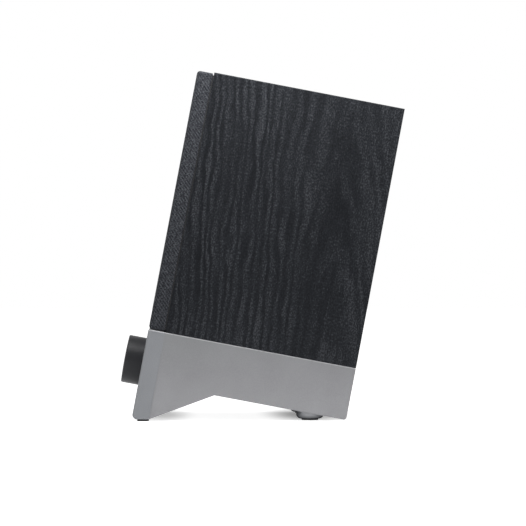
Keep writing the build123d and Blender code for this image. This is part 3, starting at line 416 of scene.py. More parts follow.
def heart_and_sap(finish, run, y, rings, tremble):
    """Shares of dark heartwood, of light sapwood at the foot, and of painted light at the rear.

    A curve reads places from 0 to 1, so rings, heights and depths are scaled to that first.
    """
    do = partial(calc, finish)
    from_heart = do("MULTIPLY_ADD", tremble, 0.08, do("MULTIPLY", rings, 0.1))
    heartwood = curve(finish, from_heart, (HEART_SIZE, 1), (HEART_SIZE + 0.035, 0))
    up = do("MULTIPLY", run, 10.0)
    low = curve(finish, up, (0.5, 1), (0.85, 0))
    behind = do("MULTIPLY", do("MULTIPLY_ADD", tremble, 0.02, y), 5.0)
    low_behind = do("MULTIPLY", low, curve(finish, behind, (0.5, 0), (0.56, 1)))
    # painted light: each panel is lightened towards the rear, making up for the lamps' light falling off
    # towards the back
    painted_light_at_rear = curve(finish, behind, (0.53, 0), (0.65, 1), (0.75, 1), (0.8, 0))
    at_foot = curve(finish, up, (0.0, 1), (0.4, 0))
    sapwood_and_painted_light = do("MULTIPLY", painted_light_at_rear, do("MULTIPLY_ADD", low, -0.03, 0.09))
    sapwood_and_painted_light = do("MULTIPLY_ADD", at_foot, 0.07, sapwood_and_painted_light)
    return do("MULTIPLY", heartwood, do("SUBTRACT", 1.0, low_behind)), sapwood_and_painted_light


def ring_bands(finish, run, y, rings, off_heart, tremble):
    """Light and dark in each ring, clearest in front and broken along its way."""
    do = partial(calc, finish)
    years = noise(finish, add(finish, "CombineXYZ", {"X": rings}), 0.45, 1.0)
    ring = do("FRACT", do("ADD", tremble, do("MULTIPLY_ADD", years, YEAR_CHANGE, rings)))
    band = curve(
        finish, ring,
        (0.0, 0.72), (0.14, 0.18), (0.3, 0.02), (0.42, 0.2), (0.58, 0.68), (0.8, 0.9), (1.0, 0.72),
    )
    side = do("MULTIPLY_ADD", off_heart, 5.0, 0.5)
    clear = curve(finish, side, (0.25, 0.5), (0.42, 0.34), (0.55, 0.3), (0.7, 0.14))
    clear = do("MULTIPLY", clear, do("MULTIPLY_ADD", years, 1.3, 0.3))
    broken = curve(finish, along_grain(finish, run, y, 2.6, 75, 2.0), (0.36, 0.3), (0.62, 1.25))
    return do("MULTIPLY", do("SUBTRACT", band, 0.52), do("MULTIPLY", clear, broken))


print("heartwood ends about ring", round(10 * HEART_SIZE, 1))

# %% Veneer the panels
EDGE_BAND = 0.21
PORE_DEPTH = 0.00012
LEANING_UP = (0, sin(LEAN), cos(LEAN))


def on_sheet(finish, along, outward):
    """The run along the grain and the way across it, on a panel's face or on its edge bands."""
    do = partial(calc, finish)
    _, x, y, z = ruler(finish)
    run = do("MULTIPLY_ADD", x, along[0], do("MULTIPLY_ADD", z, along[1], along[2]))
    edge = do("LESS_THAN", do("ABSOLUTE", facing(finish, outward)), 0.5)
    into_panel = do("ADD", do("ABSOLUTE", x if outward[0] else z), EDGE_BAND)
    return run, do("MULTIPLY_ADD", edge, do("SUBTRACT", into_panel, y), y)


def veneer(name, along, outward):
    """Black ash whose grain runs along a mix of x and z, as (x share, z share, start in metres).

    Outward is the panel's own direction; faces that look another way are edges with a narrow band.
    """
    finish = new_finish(name, Roughness=0.55, Specular_IOR_Level=0.1)
    do = partial(calc, finish)
    run, y = on_sheet(finish, along, outward)
    grain = partial(along_grain, finish, run, y)
    rings, off_heart, tremble = growth_rings(finish, run, y)
    heartwood, sapwood_and_painted_light = heart_and_sap(finish, run, y, rings, tremble)

    # fibres, clouds and specks over the rings, then the stain and the pores
    tone = ring_bands(finish, run, y, rings, off_heart, tremble)
    tone = do("MULTIPLY_ADD", grain(9.0, 1300, 3.0), 0.5, tone)
    tone = do("MULTIPLY_ADD", grain(2.0, 26, 2.0), 0.3, tone)
    tone = do("MULTIPLY_ADD", heartwood, HEART_DARK, do("ADD", tone, sapwood_and_painted_light))
    tone = do("MULTIPLY_ADD", grain(1.5, 1150, 2.0), 1.5, do("SUBTRACT", tone, 0.718))
    pore = curve(finish, grain(7.0, 2100, 1.0), (0.56, 0), (0.68, 1))
    stain = ramp(finish, tone, (0.12, shade(16, 18, 22)), (0.5, shade(33, 35, 39)), (0.88, shade(66, 68, 72)))
    return dress(
        finish,
        Base_Color=tint(finish, do("MULTIPLY", pore, 0.5), stain, shade(12, 13, 16)),
        Normal=bump(finish, do("SUBTRACT", tone, pore), PORE_DEPTH),
    )


veneers = {
    "right_panel": veneer("veneer_right", (0, 1, 0), (1, 0, 0)),
    "top_panel": veneer("veneer_top", (-1, 0, MM * (TALL + HALF)), LEANING_UP),
    "left_panel": veneer("veneer_left", (0, -1, MM * (2 * TALL + 2 * HALF)), (1, 0, 0)),
    "bottom_panel": veneer("veneer_bottom", (1, 0, MM * -HALF), LEANING_UP),
}
print("veneered panels:", sorted(veneers))

# %% [markdown]
# ## Painted, moulded and plain metal finishes
# Most of the rest is simpler stuff. Boards and covers are painted, plastic parts carry the matt grain
# of their mould, and rubber is duller still. One function for all of them is enough: the colour and
# gloss change from piece to piece, and the grain's size stays true because it is set in metres.

# %% Grained surfaces


def grained(name, colour, roughness, grains, depth, change=0.12, **values):
    """A matt surface with a fine even grain, so many grains in a metre and so deep."""
    finish = new_finish(name, Roughness=roughness, **values)
    place = ruler(finish)[0]
    fine = noise(finish, place, grains, 2.0)
    broad = noise(finish, place, 45, 3.0)
    mix = calc(finish, "MULTIPLY_ADD", fine, 0.5, calc(finish, "MULTIPLY", broad, 0.5))
    return dress(
        finish,
        Base_Color=ramp(finish, mix, (0.3, scaled(colour, 1 - change)), (0.7, scaled(colour, 1 + change))),
        Roughness=calc(finish, "MULTIPLY_ADD", broad, 0.12, roughness - 0.06),
        Normal=bump(finish, fine, depth),
    )


board_paint = grained("black_board_paint", shade(30, 31, 33), 0.62, 700, 0.00006)
cover_paint = grained("black_powder_coat", shade(27, 28, 30), 0.6, 1100, 0.00007)
plastic = grained("black_moulded_plastic", shade(25, 26, 28), 0.5, 1600, 0.00004)
rubber = grained("black_rubber", shade(20, 20, 21), 0.75, 1400, 0.00005, Specular_IOR_Level=0.3)
knob_black = grained("knob_soft_black", shade(31, 32, 36), 0.42, 1800, 0.00001, 0.06, Specular_IOR_Level=0.3)
ferrite = grained("ferrite", shade(52, 51, 50), 0.8, 1200, 0.0001, 0.2)
black_steel = grained("blackened_steel", shade(48, 48, 50), 0.42, 1500, 0.00002, 0.15, Metallic=0.85)
print("finishes so far:", len(bpy.data.materials))

# %% [markdown]
# ## The casting's paint
# The base is cast metal under satin grey paint with a very fine tooth. Its colour gets a little
# lighter towards the floor, which is painted light in place of the light that the floor throws up,
# its front plate is a cooler grey, and along the sharp top edge a fine bright line is a painted
# highlight, where the edge catches the light. Separate materials would need separate faces, so we
# take the plain grained paint and let the place on the casting change its colour.

# %% Paint the casting
# painted light: the three paint colours lighten from the joint down to the floor, as light thrown up by the
# floor would
PAINT_LOW_WITH_PAINTED_LIGHT, PAINT_MIDDLE_WITH_PAINTED_LIGHT, PAINT_HIGH_WITH_PAINTED_LIGHT = shade(154, 154, 157), shade(145, 145, 148), shade(137, 138, 140)
# painted highlight: a light colour for the fine bright line along the top edge
PAINT_PLATE, PAINTED_EDGE_HIGHLIGHT = shade(139, 141, 145), shade(183, 184, 187)
EDGE_HIGHLIGHT_WIDTH = 0.0007


def paint_share(colour):
    """A colour as a share of the casting's lightest paint."""
    return (*[part / whole for part, whole in zip(colour[:3], PAINT_LOW_WITH_PAINTED_LIGHT[:3])], 1)


def casting_paint(name):
    """Satin paint with painted light that grows towards the floor, a cooler front plate, and a painted
    highlight along the top edge.
    """
    paint = grained(name, PAINT_LOW_WITH_PAINTED_LIGHT, 0.5, 1500, 0.00003, 0.1, Specular_IOR_Level=0.4)
    colour = paint.node_tree.nodes["Principled BSDF"].inputs["Base Color"].links[0].from_socket
    on_desk = paint.node_tree.nodes.new("ShaderNodeTexCoord").outputs["Object"]
    height = add(paint, "SeparateXYZ", {"Vector": on_desk}).node.outputs["Z"]
    # painted light: the paint turns lighter towards the floor
    painted_light_and_plate = ramp(
        paint, calc(paint, "MULTIPLY", height, 10.0),
        (0.1, grey(1)), (0.3, paint_share(PAINT_MIDDLE_WITH_PAINTED_LIGHT)), (0.52, paint_share(PAINT_HIGH_WITH_PAINTED_LIGHT)),
    )
    _, _, from_face, above_joint = ruler(paint)
    in_plate = calc(paint, "LESS_THAN", from_face, MM * (BAFFLE_FACE + 0.05))
    painted_light_and_plate = tint(paint, in_plate, painted_light_and_plate, paint_share(PAINT_PLATE))
    colour = add(paint, "VectorMath", {0: colour, 1: painted_light_and_plate}, operation="MULTIPLY")
    # painted highlight: a fine bright line of lighter colour along the sharp top edge, where the edge catches
    # the light
    edge_highlight_band = span(paint, above_joint, 0, 1, -EDGE_HIGHLIGHT_WIDTH, -EDGE_HIGHLIGHT_WIDTH / 2)
    not_deck = calc(paint, "LESS_THAN", facing(paint, LEANING_UP), 0.9)
    painted_edge_highlight = calc(paint, "MULTIPLY", edge_highlight_band, not_deck)
    return dress(paint, Base_Color=tint(paint, painted_edge_highlight, colour, PAINTED_EDGE_HIGHLIGHT))


base_paint = casting_paint("grey_casting_paint")
print("casting painted, nodes:", len(base_paint.node_tree.nodes))

# %% [markdown]
# ## Finishes of the working parts
# With the grille off, the drivers show, so they get as much care as the outside: pressed paper pulp
# for the cone, doped silk for the tweeter's dome, and impregnated cotton for the woofer's spider.
# Inside the box there are copper windings, green circuit boards, sleeved capacitors and coloured
# leads. Where one CAD piece holds several colours, such as the ring of each phono socket, the finish
# picks its colour by the place on the leaning ruler.

# %% Wound wire and woven cloth
VOICE_TURNS, COTTON_PITCH, SILK_PITCH = 2800, 0.0009, 0.0005


def windings(name, colour, turns, axis):
    """Enamelled wire in even turns along an axis, so many in a metre."""
    finish = new_finish(name, Metallic=0.9, Roughness=0.3)
    place, *parts = ruler(finish)
    wave = calc(finish, "SINE", calc(finish, "MULTIPLY", parts[axis], 2 * pi * turns))
    cloud = noise(finish, place, 400, 2.0)
    level = calc(finish, "MULTIPLY_ADD", wave, 0.25, calc(finish, "MULTIPLY", cloud, 0.8))
    enamel = tint(finish, level, scaled(colour, 0.6), colour)
    return dress(finish, Base_Color=enamel, Normal=bump(finish, wave, 0.0001))


def woven(name, colour, pitch, roughness, **values):
    """Fine plain-woven cloth, from threads across and up the ruler."""
    finish = new_finish(name, Roughness=roughness, **values)
    place, *parts = ruler(finish)
    turns = [calc(finish, "MULTIPLY", part, 2 * pi / pitch) for part in (parts[0], parts[2])]
    threads = calc(finish, "MULTIPLY", *[calc(finish, "SINE", turn) for turn in turns])
    level = calc(finish, "MULTIPLY_ADD", threads, 0.22, noise(finish, place, 220, 3.0))
    dyed = tint(finish, level, scaled(colour, 0.6), colour)
    return dress(finish, Base_Color=dyed, Normal=bump(finish, threads, 0.00004))


coil_copper = windings("coil_copper", shade(196, 122, 84), VOICE_TURNS, 1)
spider_cotton = woven("spider_cotton", shade(178, 138, 82), COTTON_PITCH, 0.85)
dome_silk = woven("dome_silk", shade(30, 30, 33), SILK_PITCH, 0.6, Sheen_Weight=0.25)
print("turns of wire in a mm:", VOICE_TURNS * MM)

# %% Sleeves, boards and cans
CROSSOVER_LID, FILTER_LID = 35.2, -10.6


def split_by_x(name, roughness, *stops):
    """Plastic whose colour changes at places along x, as (from this x in mm, colour) stops."""
    finish = new_finish(name, Roughness=roughness)
    place, x, _, _ = ruler(finish)
    colour = stops[0][1]
    for start, next_colour in stops[1:]:
        colour = tint(finish, calc(finish, "GREATER_THAN", x, MM * start), colour, next_colour)
    scuff = noise(finish, place, 900, 2.0)
    return dress(
        finish,
        Base_Color=tint(finish, calc(finish, "MULTIPLY", scuff, 0.16), colour, shade(20, 20, 20)),
        Roughness=calc(finish, "MULTIPLY_ADD", scuff, 0.2, roughness - 0.1),
    )


def circuit_board(name):
    """Green lacquer over copper tracks, which run in straight steps."""
    finish = new_finish(name, Roughness=0.35)
    place, x, y, _ = ruler(finish)
    steps = add(finish, "TexBrick", {
        "Vector": add(finish, "CombineXYZ", {"X": x, "Y": y}), "Scale": 60.0,
        "Brick Width": 0.7, "Row Height": 0.22, "Mortar Size": 0.06,
        "Color1": grey(0.1), "Color2": grey(0.35), "Mortar": grey(1.0),
    })
    cloud = noise(finish, place, 120, 2.0)
    track = calc(finish, "MULTIPLY_ADD", cloud, 0.25, steps)
    return dress(
        finish,
        Base_Color=ramp(
            finish, track, (0.1, shade(18, 58, 38)), (0.6, shade(28, 82, 50)), (1.0, shade(70, 120, 70)),
        ),
        Normal=bump(finish, steps, 0.00003),
    )


def sleeved_can(name, lid_from):
    """A capacitor: a shrunk sleeve, and a bare metal lid above a height in leaning mm."""
    finish = new_finish(name, Roughness=0.35)
    place, _, _, z = ruler(finish)
    lid = calc(finish, "GREATER_THAN", z, MM * lid_from)
    cloud = noise(finish, place, 260, 2.0)
    sleeve = tint(finish, cloud, shade(20, 24, 44), shade(34, 40, 66))
    return dress(
        finish,
        Base_Color=tint(finish, lid, sleeve, shade(186, 187, 189)),
        Metallic=lid,
        Roughness=calc(finish, "MULTIPLY_ADD", cloud, 0.1, 0.32),
    )


green_board = circuit_board("circuit_board")
phono_rings = split_by_x(
    "phono_rings", 0.4, (-99, shade(224, 222, 216)), (-21, shade(168, 28, 30)), (-8, shade(26, 26, 28)),
)
lead_sleeves = split_by_x(
    "lead_sleeves", 0.5,
    (-99, shade(26, 26, 28)), (1, shade(170, 30, 32)), (20, shade(28, 28, 30)), (30, shade(166, 30, 32)),
)
crossover_can = sleeved_can("crossover_can", CROSSOVER_LID)
filter_can = sleeved_can("filter_can", FILTER_LID)
print("finishes so far:", len(bpy.data.materials))

# %% Paper, film, metal and epoxy
cone_paper = grained("cone_paper", shade(33, 33, 35), 0.85, 420, 0.00012, 0.25, Specular_IOR_Level=0.25)
surround_rubber = grained("surround_rubber", shade(24, 24, 26), 0.55, 1800, 0.00002, 0.08)
former_film = grained("former_film", shade(150, 96, 40), 0.35, 900, 0.00001)
choke_copper = grained("choke_enamel", shade(190, 112, 70), 0.3, 500, 0.00001, 0.2, Metallic=0.9)
steel = grained("plated_steel", shade(176, 176, 178), 0.3, 600, 0.00001, 0.06, Metallic=1.0)
aluminium = grained("drawn_aluminium", shade(186, 187, 190), 0.36, 900, 0.00001, 0.06, Metallic=1.0)
chip_epoxy = grained("chip_epoxy", shade(34, 34, 35), 0.55, 1500, 0.00003)
print("all finishes:", len(bpy.data.materials))

# %% [markdown]
# ## Dress the CAD pieces
# A rigid piece whose CAD shape is right keeps that shape, and only takes its finish. A table from
# finish to pieces is easier to read and to change than a line for each piece. The phono barrels keep
# the fine rings of the lathe, counted from the axis of the middle one. The rear feet are bright metal
# under a smoked lacquer. Seen aslant, light goes a longer way through the tinted coat, so they turn
# dark towards their sides, as in the photograph.

# %% Finish the feet and the barrels
PHONO_MIDDLE = (-14.5, 0, -18.7)


def turned_metal(name, colour, roughness, axis, middle, rings=2500):
    """Metal with a lathe's fine rings about an axis (0, 1 or 2) through a place in leaning mm."""
    finish = new_finish(name, Metallic=1.0)
    place, *parts = ruler(finish)
    offsets = [calc(finish, "SUBTRACT", part, MM * value) for part, value in zip(parts, middle)]
    offsets[axis] = 0.0
    radius = vector_length(finish, add(finish, "CombineXYZ", enumerate(offsets)))
    groove = noise(finish, add(finish, "CombineXYZ", {"X": radius, "Y": parts[axis]}), rings, 1.0)
    return dress(
        finish,
        Base_Color=tint(finish, noise(finish, place, 160, 2.0), colour, scaled(colour, 1.1)),
        Roughness=calc(finish, "MULTIPLY_ADD", groove, 0.16, roughness - 0.08),
        Normal=bump(finish, groove, 0.00001),
    )


foot_metal = new_finish("foot_smoked_metal", Metallic=1.0, Anisotropic=0.9, Coat_Weight=1.0, Coat_IOR=1.02)
foot_cloud = noise(foot_metal, ruler(foot_metal)[0], 300, 2.0)
dress(
    foot_metal,
    Coat_Tint=shade(150, 151, 153),
    Base_Color=tint(foot_metal, foot_cloud, shade(246, 246, 248), shade(255, 255, 255)),
    Roughness=calc(foot_metal, "MULTIPLY_ADD", foot_cloud, 0.08, 0.32),
    Tangent=add(foot_metal, "CombineXYZ", {"Z": 1.0}),
)
barrel_metal = turned_metal("phono_nickel", shade(190, 188, 182), 0.25, 1, PHONO_MIDDLE)
print("bright metal:", [finish.name for finish in (foot_metal, barrel_metal)])

# %% Give every CAD piece its finish
finishes = {
    base_paint: ["base_casting"],
    board_paint: ["back_panel", "front_baffle"],
    cover_paint: ["bottom_cover", "woofer_basket"],
    plastic: [
        "grille_frame", "connector_panel", "tweeter_faceplate", "port_tube", "phono_housing",
        "audio_jack", "power_jack", "control_header", "woofer_terminals", "board_spacers",
    ],
    rubber: ["foot_pads", "grille_sockets", "woofer_gasket"],
    knob_black: ["knob"],
    foot_metal: ["rear_feet"],
    barrel_metal: ["phono_barrels"],
    black_steel: ["case_screws", "cabinet_screws", "driver_screws"],
    ferrite: ["woofer_magnet", "tweeter_magnet"],
    steel: [
        "woofer_top_plate", "woofer_yoke", "tweeter_cup", "tweeter_pole_plate",
        "control_nut", "control_shaft", "volume_control",
    ],
    aluminium: ["heat_sink"],
    cone_paper: ["woofer_cone", "woofer_dust_cap"],
    dome_silk: ["tweeter_dome"],
    former_film: ["voice_coil_former"],
    coil_copper: ["voice_coil", "tweeter_voice_coil"],
    green_board: ["crossover_board", "main_board"],
    phono_rings: ["phono_insulators"],
    lead_sleeves: ["driver_leads", "amplifier_leads", "control_leads"],
    chip_epoxy: ["amplifier_chip"],
    crossover_can: ["crossover_capacitors"],
    filter_can: ["filter_capacitors"],
}
finishes.update({finish: [node] for node, finish in veneers.items()})


def wear(piece, finish):
    """Put a finish on a piece in place of any it came with."""
    piece.data.materials.clear()
    piece.data.materials.append(finish)


for finish, nodes in finishes.items():
    for node in nodes:
        wear(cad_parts[node], finish)
dressed = {node for nodes in finishes.values() for node in nodes}
print("CAD pieces dressed:", len(dressed), "left for new meshes:", sorted(set(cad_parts) - dressed))

# %% [markdown]
# ## Grille cloth
# A dark twill is drawn over the grille's frame, round its softly rounded front edges, and glued down
# behind it. Cloth simulation would only wrinkle what is in truth pulled tight, so we lay the sheet
# directly: an even grid for the face, then rings that follow the frame round its edges and onto its
# back. First we walk the sheet's way over an edge, and write down at each step how far in from the
# side it lies, how deep, and how much cloth has run so far.

# %% The sheet's way round the frame
GRILLE_HALF, GRILLE_LOW, GRILLE_HIGH = 65.5, 0.5, TALL - 0.7
GRILLE_DEEP, EDGE_ROUND, CORNER_ROUND, CLOTH_THICK, HEM = 10.1, 2.2, 1.6, 0.4, 1.1
FACE_INSET, LEAST_ROUND, ARC_STEPS = 3.2, 0.25, 4
grille_middle = (GRILLE_LOW + GRILLE_HIGH) / 2
half_sizes = (GRILLE_HALF, (GRILLE_HIGH - GRILLE_LOW) / 2)
columns, rows = (
    np.linspace(-half + FACE_INSET, half - FACE_INSET, count) for half, count in zip(half_sizes, (41, 53))
)
way = []
for turn in np.linspace(0, pi / 2, 8):
    way.append((EDGE_ROUND * (1 - sin(turn)), EDGE_ROUND * (1 - cos(turn)), EDGE_ROUND * turn))
for depth in np.linspace(EDGE_ROUND, GRILLE_DEEP, 6)[1:]:
    way.append((0.0, depth, way[-1][2] + depth - way[-1][1]))
for turn in np.linspace(0, pi / 2, 4)[1:]:
    inset, depth = CLOTH_THICK * (1 - cos(turn)), GRILLE_DEEP + CLOTH_THICK * sin(turn)
    way.append((inset, depth, way[-1][2] + CLOTH_THICK * pi / 6))
for inset in np.linspace(CLOTH_THICK, HEM, 4)[1:]:
    way.append((inset, GRILLE_DEEP + CLOTH_THICK, way[-1][2] + inset - way[-1][0]))


def side_points(side, inset):
    """One side of the grille's outline from mid-corner to mid-corner, as (x, z) about its middle."""
    long_half, out_half = half_sizes[side % 2], half_sizes[1 - side % 2]
    radius = max(CORNER_ROUND - inset, LEAST_ROUND)
    long_corner, out_corner = long_half - inset - radius, out_half - inset - radius
    arc = np.radians(np.linspace(45, 0, ARC_STEPS + 1))
    start = [(-long_corner - radius * sin(a), out_corner + radius * cos(a)) for a in arc]
    straight = [(place, out_corner + radius) for place in (columns, rows)[side % 2]]
    end = [(long_corner + radius * sin(a), out_corner + radius * cos(a)) for a in arc[::-1][:-1]]
    directions = [((1, 0), (0, 1)), ((0, -1), (1, 0)), ((-1, 0), (0, -1)), ((0, 1), (-1, 0))]
    forth, out = np.array(directions[side], float)
    return [a * forth + b * out for a, b in start + straight + end]


print("cloth from the face's edge to the hem, mm:", round(way[-1][2], 1))

# %% [markdown]
# ## The sheet and its flat cut
# Now the points: the face's grid, then one ring for each step of the way. For every face we also keep
# its place on the flat cut, as the cloth lay on the table. These lengths become the map that the weave
# follows, so the threads pass unbroken over the edge and meet only in the folded corners.

# %% Lay the cloth over the frame
points, faces, lengths = [], [], []
for z in rows:
    points += [(x, 0.0, grille_middle + z) for x in columns]
across = len(columns)
for r in range(len(rows) - 1):
    for c in range(across - 1):
        corner = r * across + c
        faces.append((corner, corner + 1, corner + across + 1, corner + across))
        lengths.append([(points[i][0], points[i][2]) for i in faces[-1]])
ring_starts, side_of, run_along = [], [], []
for inset, depth, _ in way:
    ring_starts.append(len(points))
    for side in range(4):
        for x, z in side_points(side, inset):
            points.append((x, depth, grille_middle + z))
for side in range(4):
    outer = np.array(side_points(side, 0.0) + [side_points((side + 1) % 4, 0.0)[0]])
    run = np.concatenate([[0], np.cumsum(np.linalg.norm(np.diff(outer, axis=0), axis=1))])
    side_of += [side] * (len(outer) - 1)
    run_along += list(zip(run[:-1] - run[-1] / 2, run[1:] - run[-1] / 2))


def cut_place(side, run, length):
    """A place on the flat cut, from the run along a side and the length from the face's edge."""
    out = half_sizes[1 - side % 2] - EDGE_ROUND + length
    x, z = ((run, out), (out, -run), (-run, -out), (-out, run))[side]
    return x, grille_middle + z


ring_size = len(side_of)
for step in range(len(way) - 1):
    for i in range(ring_size):
        a, b = ring_starts[step] + i, ring_starts[step] + (i + 1) % ring_size
        faces.append((a, b, b + ring_size, a + ring_size))
        side, (first, last) = side_of[i], run_along[i]
        near, far = way[step][2], way[step + 1][2]
        ends = ((first, near), (last, near), (last, far), (first, far))
        lengths.append([cut_place(side, run, length) for run, length in ends])

# join the face's grid to the first ring, with fans in the four corners
grid_sides = [
    [(len(rows) - 1) * across + c for c in range(across)],
    [r * across + across - 1 for r in range(len(rows) - 1, -1, -1)],
    list(range(across - 1, -1, -1)),
    [r * across for r in range(len(rows))],
]
here = ring_starts[0]
for side in range(4):
    edge = grid_sides[side]
    for i in range(ARC_STEPS + 1 + len(edge) + ARC_STEPS):
        following = ring_starts[0] + (here + 1 - ring_starts[0]) % ring_size
        k = i - ARC_STEPS - 1
        if 0 <= k < len(edge) - 1:
            face = (edge[k], edge[k + 1], following, here)
        else:
            face = (edge[0] if k < 0 else edge[-1], following, here)
        faces.append(face)
        lengths.append([(points[j][0], points[j][2]) for j in face])
        here += 1
print("cloth faces:", len(faces), "rings round the edge:", len(way))

# %% [markdown]
# ## The twill
# Seen close, the cloth is a twill of dark melange yarn: each thread passes over two others and under
# two, one step further in every row, which draws fine diagonal lines. An image of cloth would blur or
# repeat, so the weave is counted out: which thread lies on top follows from the thread's number and
# the row's number. Each float is arched along its length and round across it, and every yarn has its
# own slightly different grey.

# %% Weave the twill
THREAD, FLOAT, REPEAT = 0.0006, 2.0, 4.0
YARN_CHANGE, YARN_APART = 7.0, 40.0
grille_twill = new_finish(
    "grille_twill", Roughness=0.9, Specular_IOR_Level=0.1, Sheen_Weight=0.06, Sheen_Roughness=0.5,
)
weave = partial(calc, grille_twill)
cut_map = add(grille_twill, "UVMap", uv_map="cut")
on_cut = add(grille_twill, "SeparateXYZ", {"Vector": cut_map}).node.outputs[:2]
flat = [weave("DIVIDE", part, THREAD) for part in on_cut]
number = [weave("FLOOR", part) for part in flat]
upright_on_top = weave("LESS_THAN", weave("FLOORED_MODULO", weave("ADD", *number), REPEAT), 1.5)
crowns, yarns = [], []
for this, other in ((0, 1), (1, 0)):
    half_wave = weave("SINE", weave("MULTIPLY", weave("FRACT", flat[this]), pi))
    over = weave("FLOORED_MODULO", weave("ADD", flat[other], number[this]), FLOAT)
    arch = weave("SINE", weave("MULTIPLY", over, pi / FLOAT))
    crowns.append(weave("MULTIPLY", half_wave, weave("MULTIPLY_ADD", arch, 0.5, 0.5)))
    run = weave("DIVIDE", flat[other], YARN_CHANGE)
    on_yarn = add(grille_twill, "CombineXYZ", {"X": number[this], "Y": run, "Z": YARN_APART * this})
    yarns.append(noise(grille_twill, on_yarn, 0.9, 2.0))


def top_of(pair):
    """The value of whichever thread lies on top."""
    return add(grille_twill, "Mix", {0: upright_on_top, 2: pair[1], 3: pair[0]}, data_type="FLOAT")


crown = top_of(crowns)
level = weave("MULTIPLY_ADD", upright_on_top, 0.13, -0.31)
level = weave("MULTIPLY_ADD", top_of(yarns), 1.05, level)
level = weave("MULTIPLY_ADD", crown, 0.5, level)
yarn_greys = (0.25, shade(19, 21, 24)), (0.55, shade(47, 49, 54)), (0.85, shade(93, 95, 100))
dress(
    grille_twill,
    Base_Color=ramp(grille_twill, level, *yarn_greys),
    Normal=bump(grille_twill, crown, 0.00015),
)
print("threads in a cm:", round(0.01 / THREAD, 1))

# %% Stretch the cloth


def mesh_piece(name, points, faces, finish, smooth=40, cut=()):
    """A new piece from leaning millimetres, smooth up to an angle, with a flat cut's map if given."""
    mesh = bpy.data.meshes.new(name)
    mesh.from_pydata(leaned(points).tolist(), [], faces)
    if cut:
        mesh.uv_layers.new(name="cut").uv.foreach_set("vector", MM * np.concatenate(cut).ravel())
    shape = bmesh.new()
    shape.from_mesh(mesh)
    bmesh.ops.recalc_face_normals(shape, faces=shape.faces)
    shape.to_mesh(mesh)
    shape.free()
    mesh.shade_smooth()
    mesh.set_sharp_from_angle(angle=radians(smooth))
    piece = bpy.data.objects.new(name, mesh)
    scene.collection.objects.link(piece)
    wear(piece, finish)
    return piece


grille_sheet = mesh_piece("stretched_grille_cloth", points, faces, grille_twill, 50, lengths)
thickness = grille_sheet.modifiers.new("thickness", "SOLIDIFY")
thickness.thickness, thickness.offset = CLOTH_THICK * MM, -1
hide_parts("grille_cloth")
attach(grille_sheet, "grille")

# %% [markdown]
# ## Damping foam
# A pad of egg-crate foam lines the back of the cabinet and takes up the sound behind the woofer. Foam
# like this is sawn against shaped rollers, so its face is an even field of rounded peaks and hollows
# with a flat back. A wave in two directions on a grid gives exactly that, and keeps the pad inside the
# space that CAD holds for it.

# %% Saw the egg-crate foam
FOAM_X, FOAM_Y, FOAM_Z = (-46.0, 46.0), (BACK - 27.0, BACK - 9.0), (44.6, 104.9)
PEAK_PITCH, PEAK_HALF = 15.0, 5.0
foam_columns, foam_rows = 93, 61
foam_grid = [(x, z) for z in np.linspace(*FOAM_Z, foam_rows) for x in np.linspace(*FOAM_X, foam_columns)]
foam_points, foam_faces = [], []
for x, z in foam_grid:
    wave = cos(2 * pi * x / PEAK_PITCH) * cos(2 * pi * (z - sum(FOAM_Z) / 2) / PEAK_PITCH)
    foam_points.append((x, FOAM_Y[0] + PEAK_HALF * (1 - wave), z))
foam_points += [(x, FOAM_Y[1], z) for x, z in foam_grid]
layer = len(foam_grid)
for r in range(foam_rows - 1):
    for c in range(foam_columns - 1):
        corner = r * foam_columns + c
        face = (corner, corner + 1, corner + foam_columns + 1, corner + foam_columns)
        foam_faces += [face, tuple(layer + i for i in reversed(face))]
rim = list(range(foam_columns))
rim += [r * foam_columns + foam_columns - 1 for r in range(1, foam_rows)]
rim += [layer - 1 - c for c in range(1, foam_columns)]
rim += [r * foam_columns for r in range(foam_rows - 2, 0, -1)]
for a, b in zip(rim, rim[1:] + rim[:1]):
    foam_faces.append((a, layer + a, layer + b, b))
foam_grey = grained("foam_charcoal", shade(48, 48, 51), 0.95, 900, 0.0006, 0.3, Specular_IOR_Level=0.15)
foam_pad = mesh_piece("egg_crate_foam", foam_points, foam_faces, foam_grey, 60)
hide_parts("damping_foam")
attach(foam_pad, "cabinet")
print("foam pad in mm:", [round(float(np.ptp(side)), 1) for side in (FOAM_X, FOAM_Y, FOAM_Z)])

# %% [markdown]
# ## Surrounds and spider
# The woofer's cone hangs in two soft rings: the rubber surround with its half roll at the rim, and
# behind it the spider, a disc of impregnated cotton pressed into waves. The tweeter's dome has a small
# roll of its own. All three are turned shapes, so a lathe is the natural tool: we draw half a section
# and spin it. When the cone moves, the outer edge of such a ring stays glued to the basket and the
# inner edge goes along.

# %% A lathe, and a half roll for the rings
WOOFER = (0, BAFFLE_FACE, 55.0)
TWEETER = (0, BAFFLE_FACE, TALL - 36.0)


def lathe(name, section, middle, axis, finish, smooth=40, around=160):
    """Spin a closed section of (radius, place along) about an axis (1 for y, 2 for z) through a place."""
    spun = []
    for turn in np.linspace(0, 2 * pi, around, endpoint=False):
        for radius, along in section:
            pair = (radius * cos(turn), radius * sin(turn))
            offset = (pair[0], along, pair[1]) if axis == 1 else (pair[0], pair[1], along)
            spun.append(np.add(middle, offset))
    size = len(section)
    skin = []
    for turn in range(around):
        here, there = turn * size, (turn + 1) % around * size
        skin += [(here + i, here + (i + 1) % size, there + (i + 1) % size, there + i) for i in range(size)]
    return mesh_piece(name, spun, skin, finish, smooth)


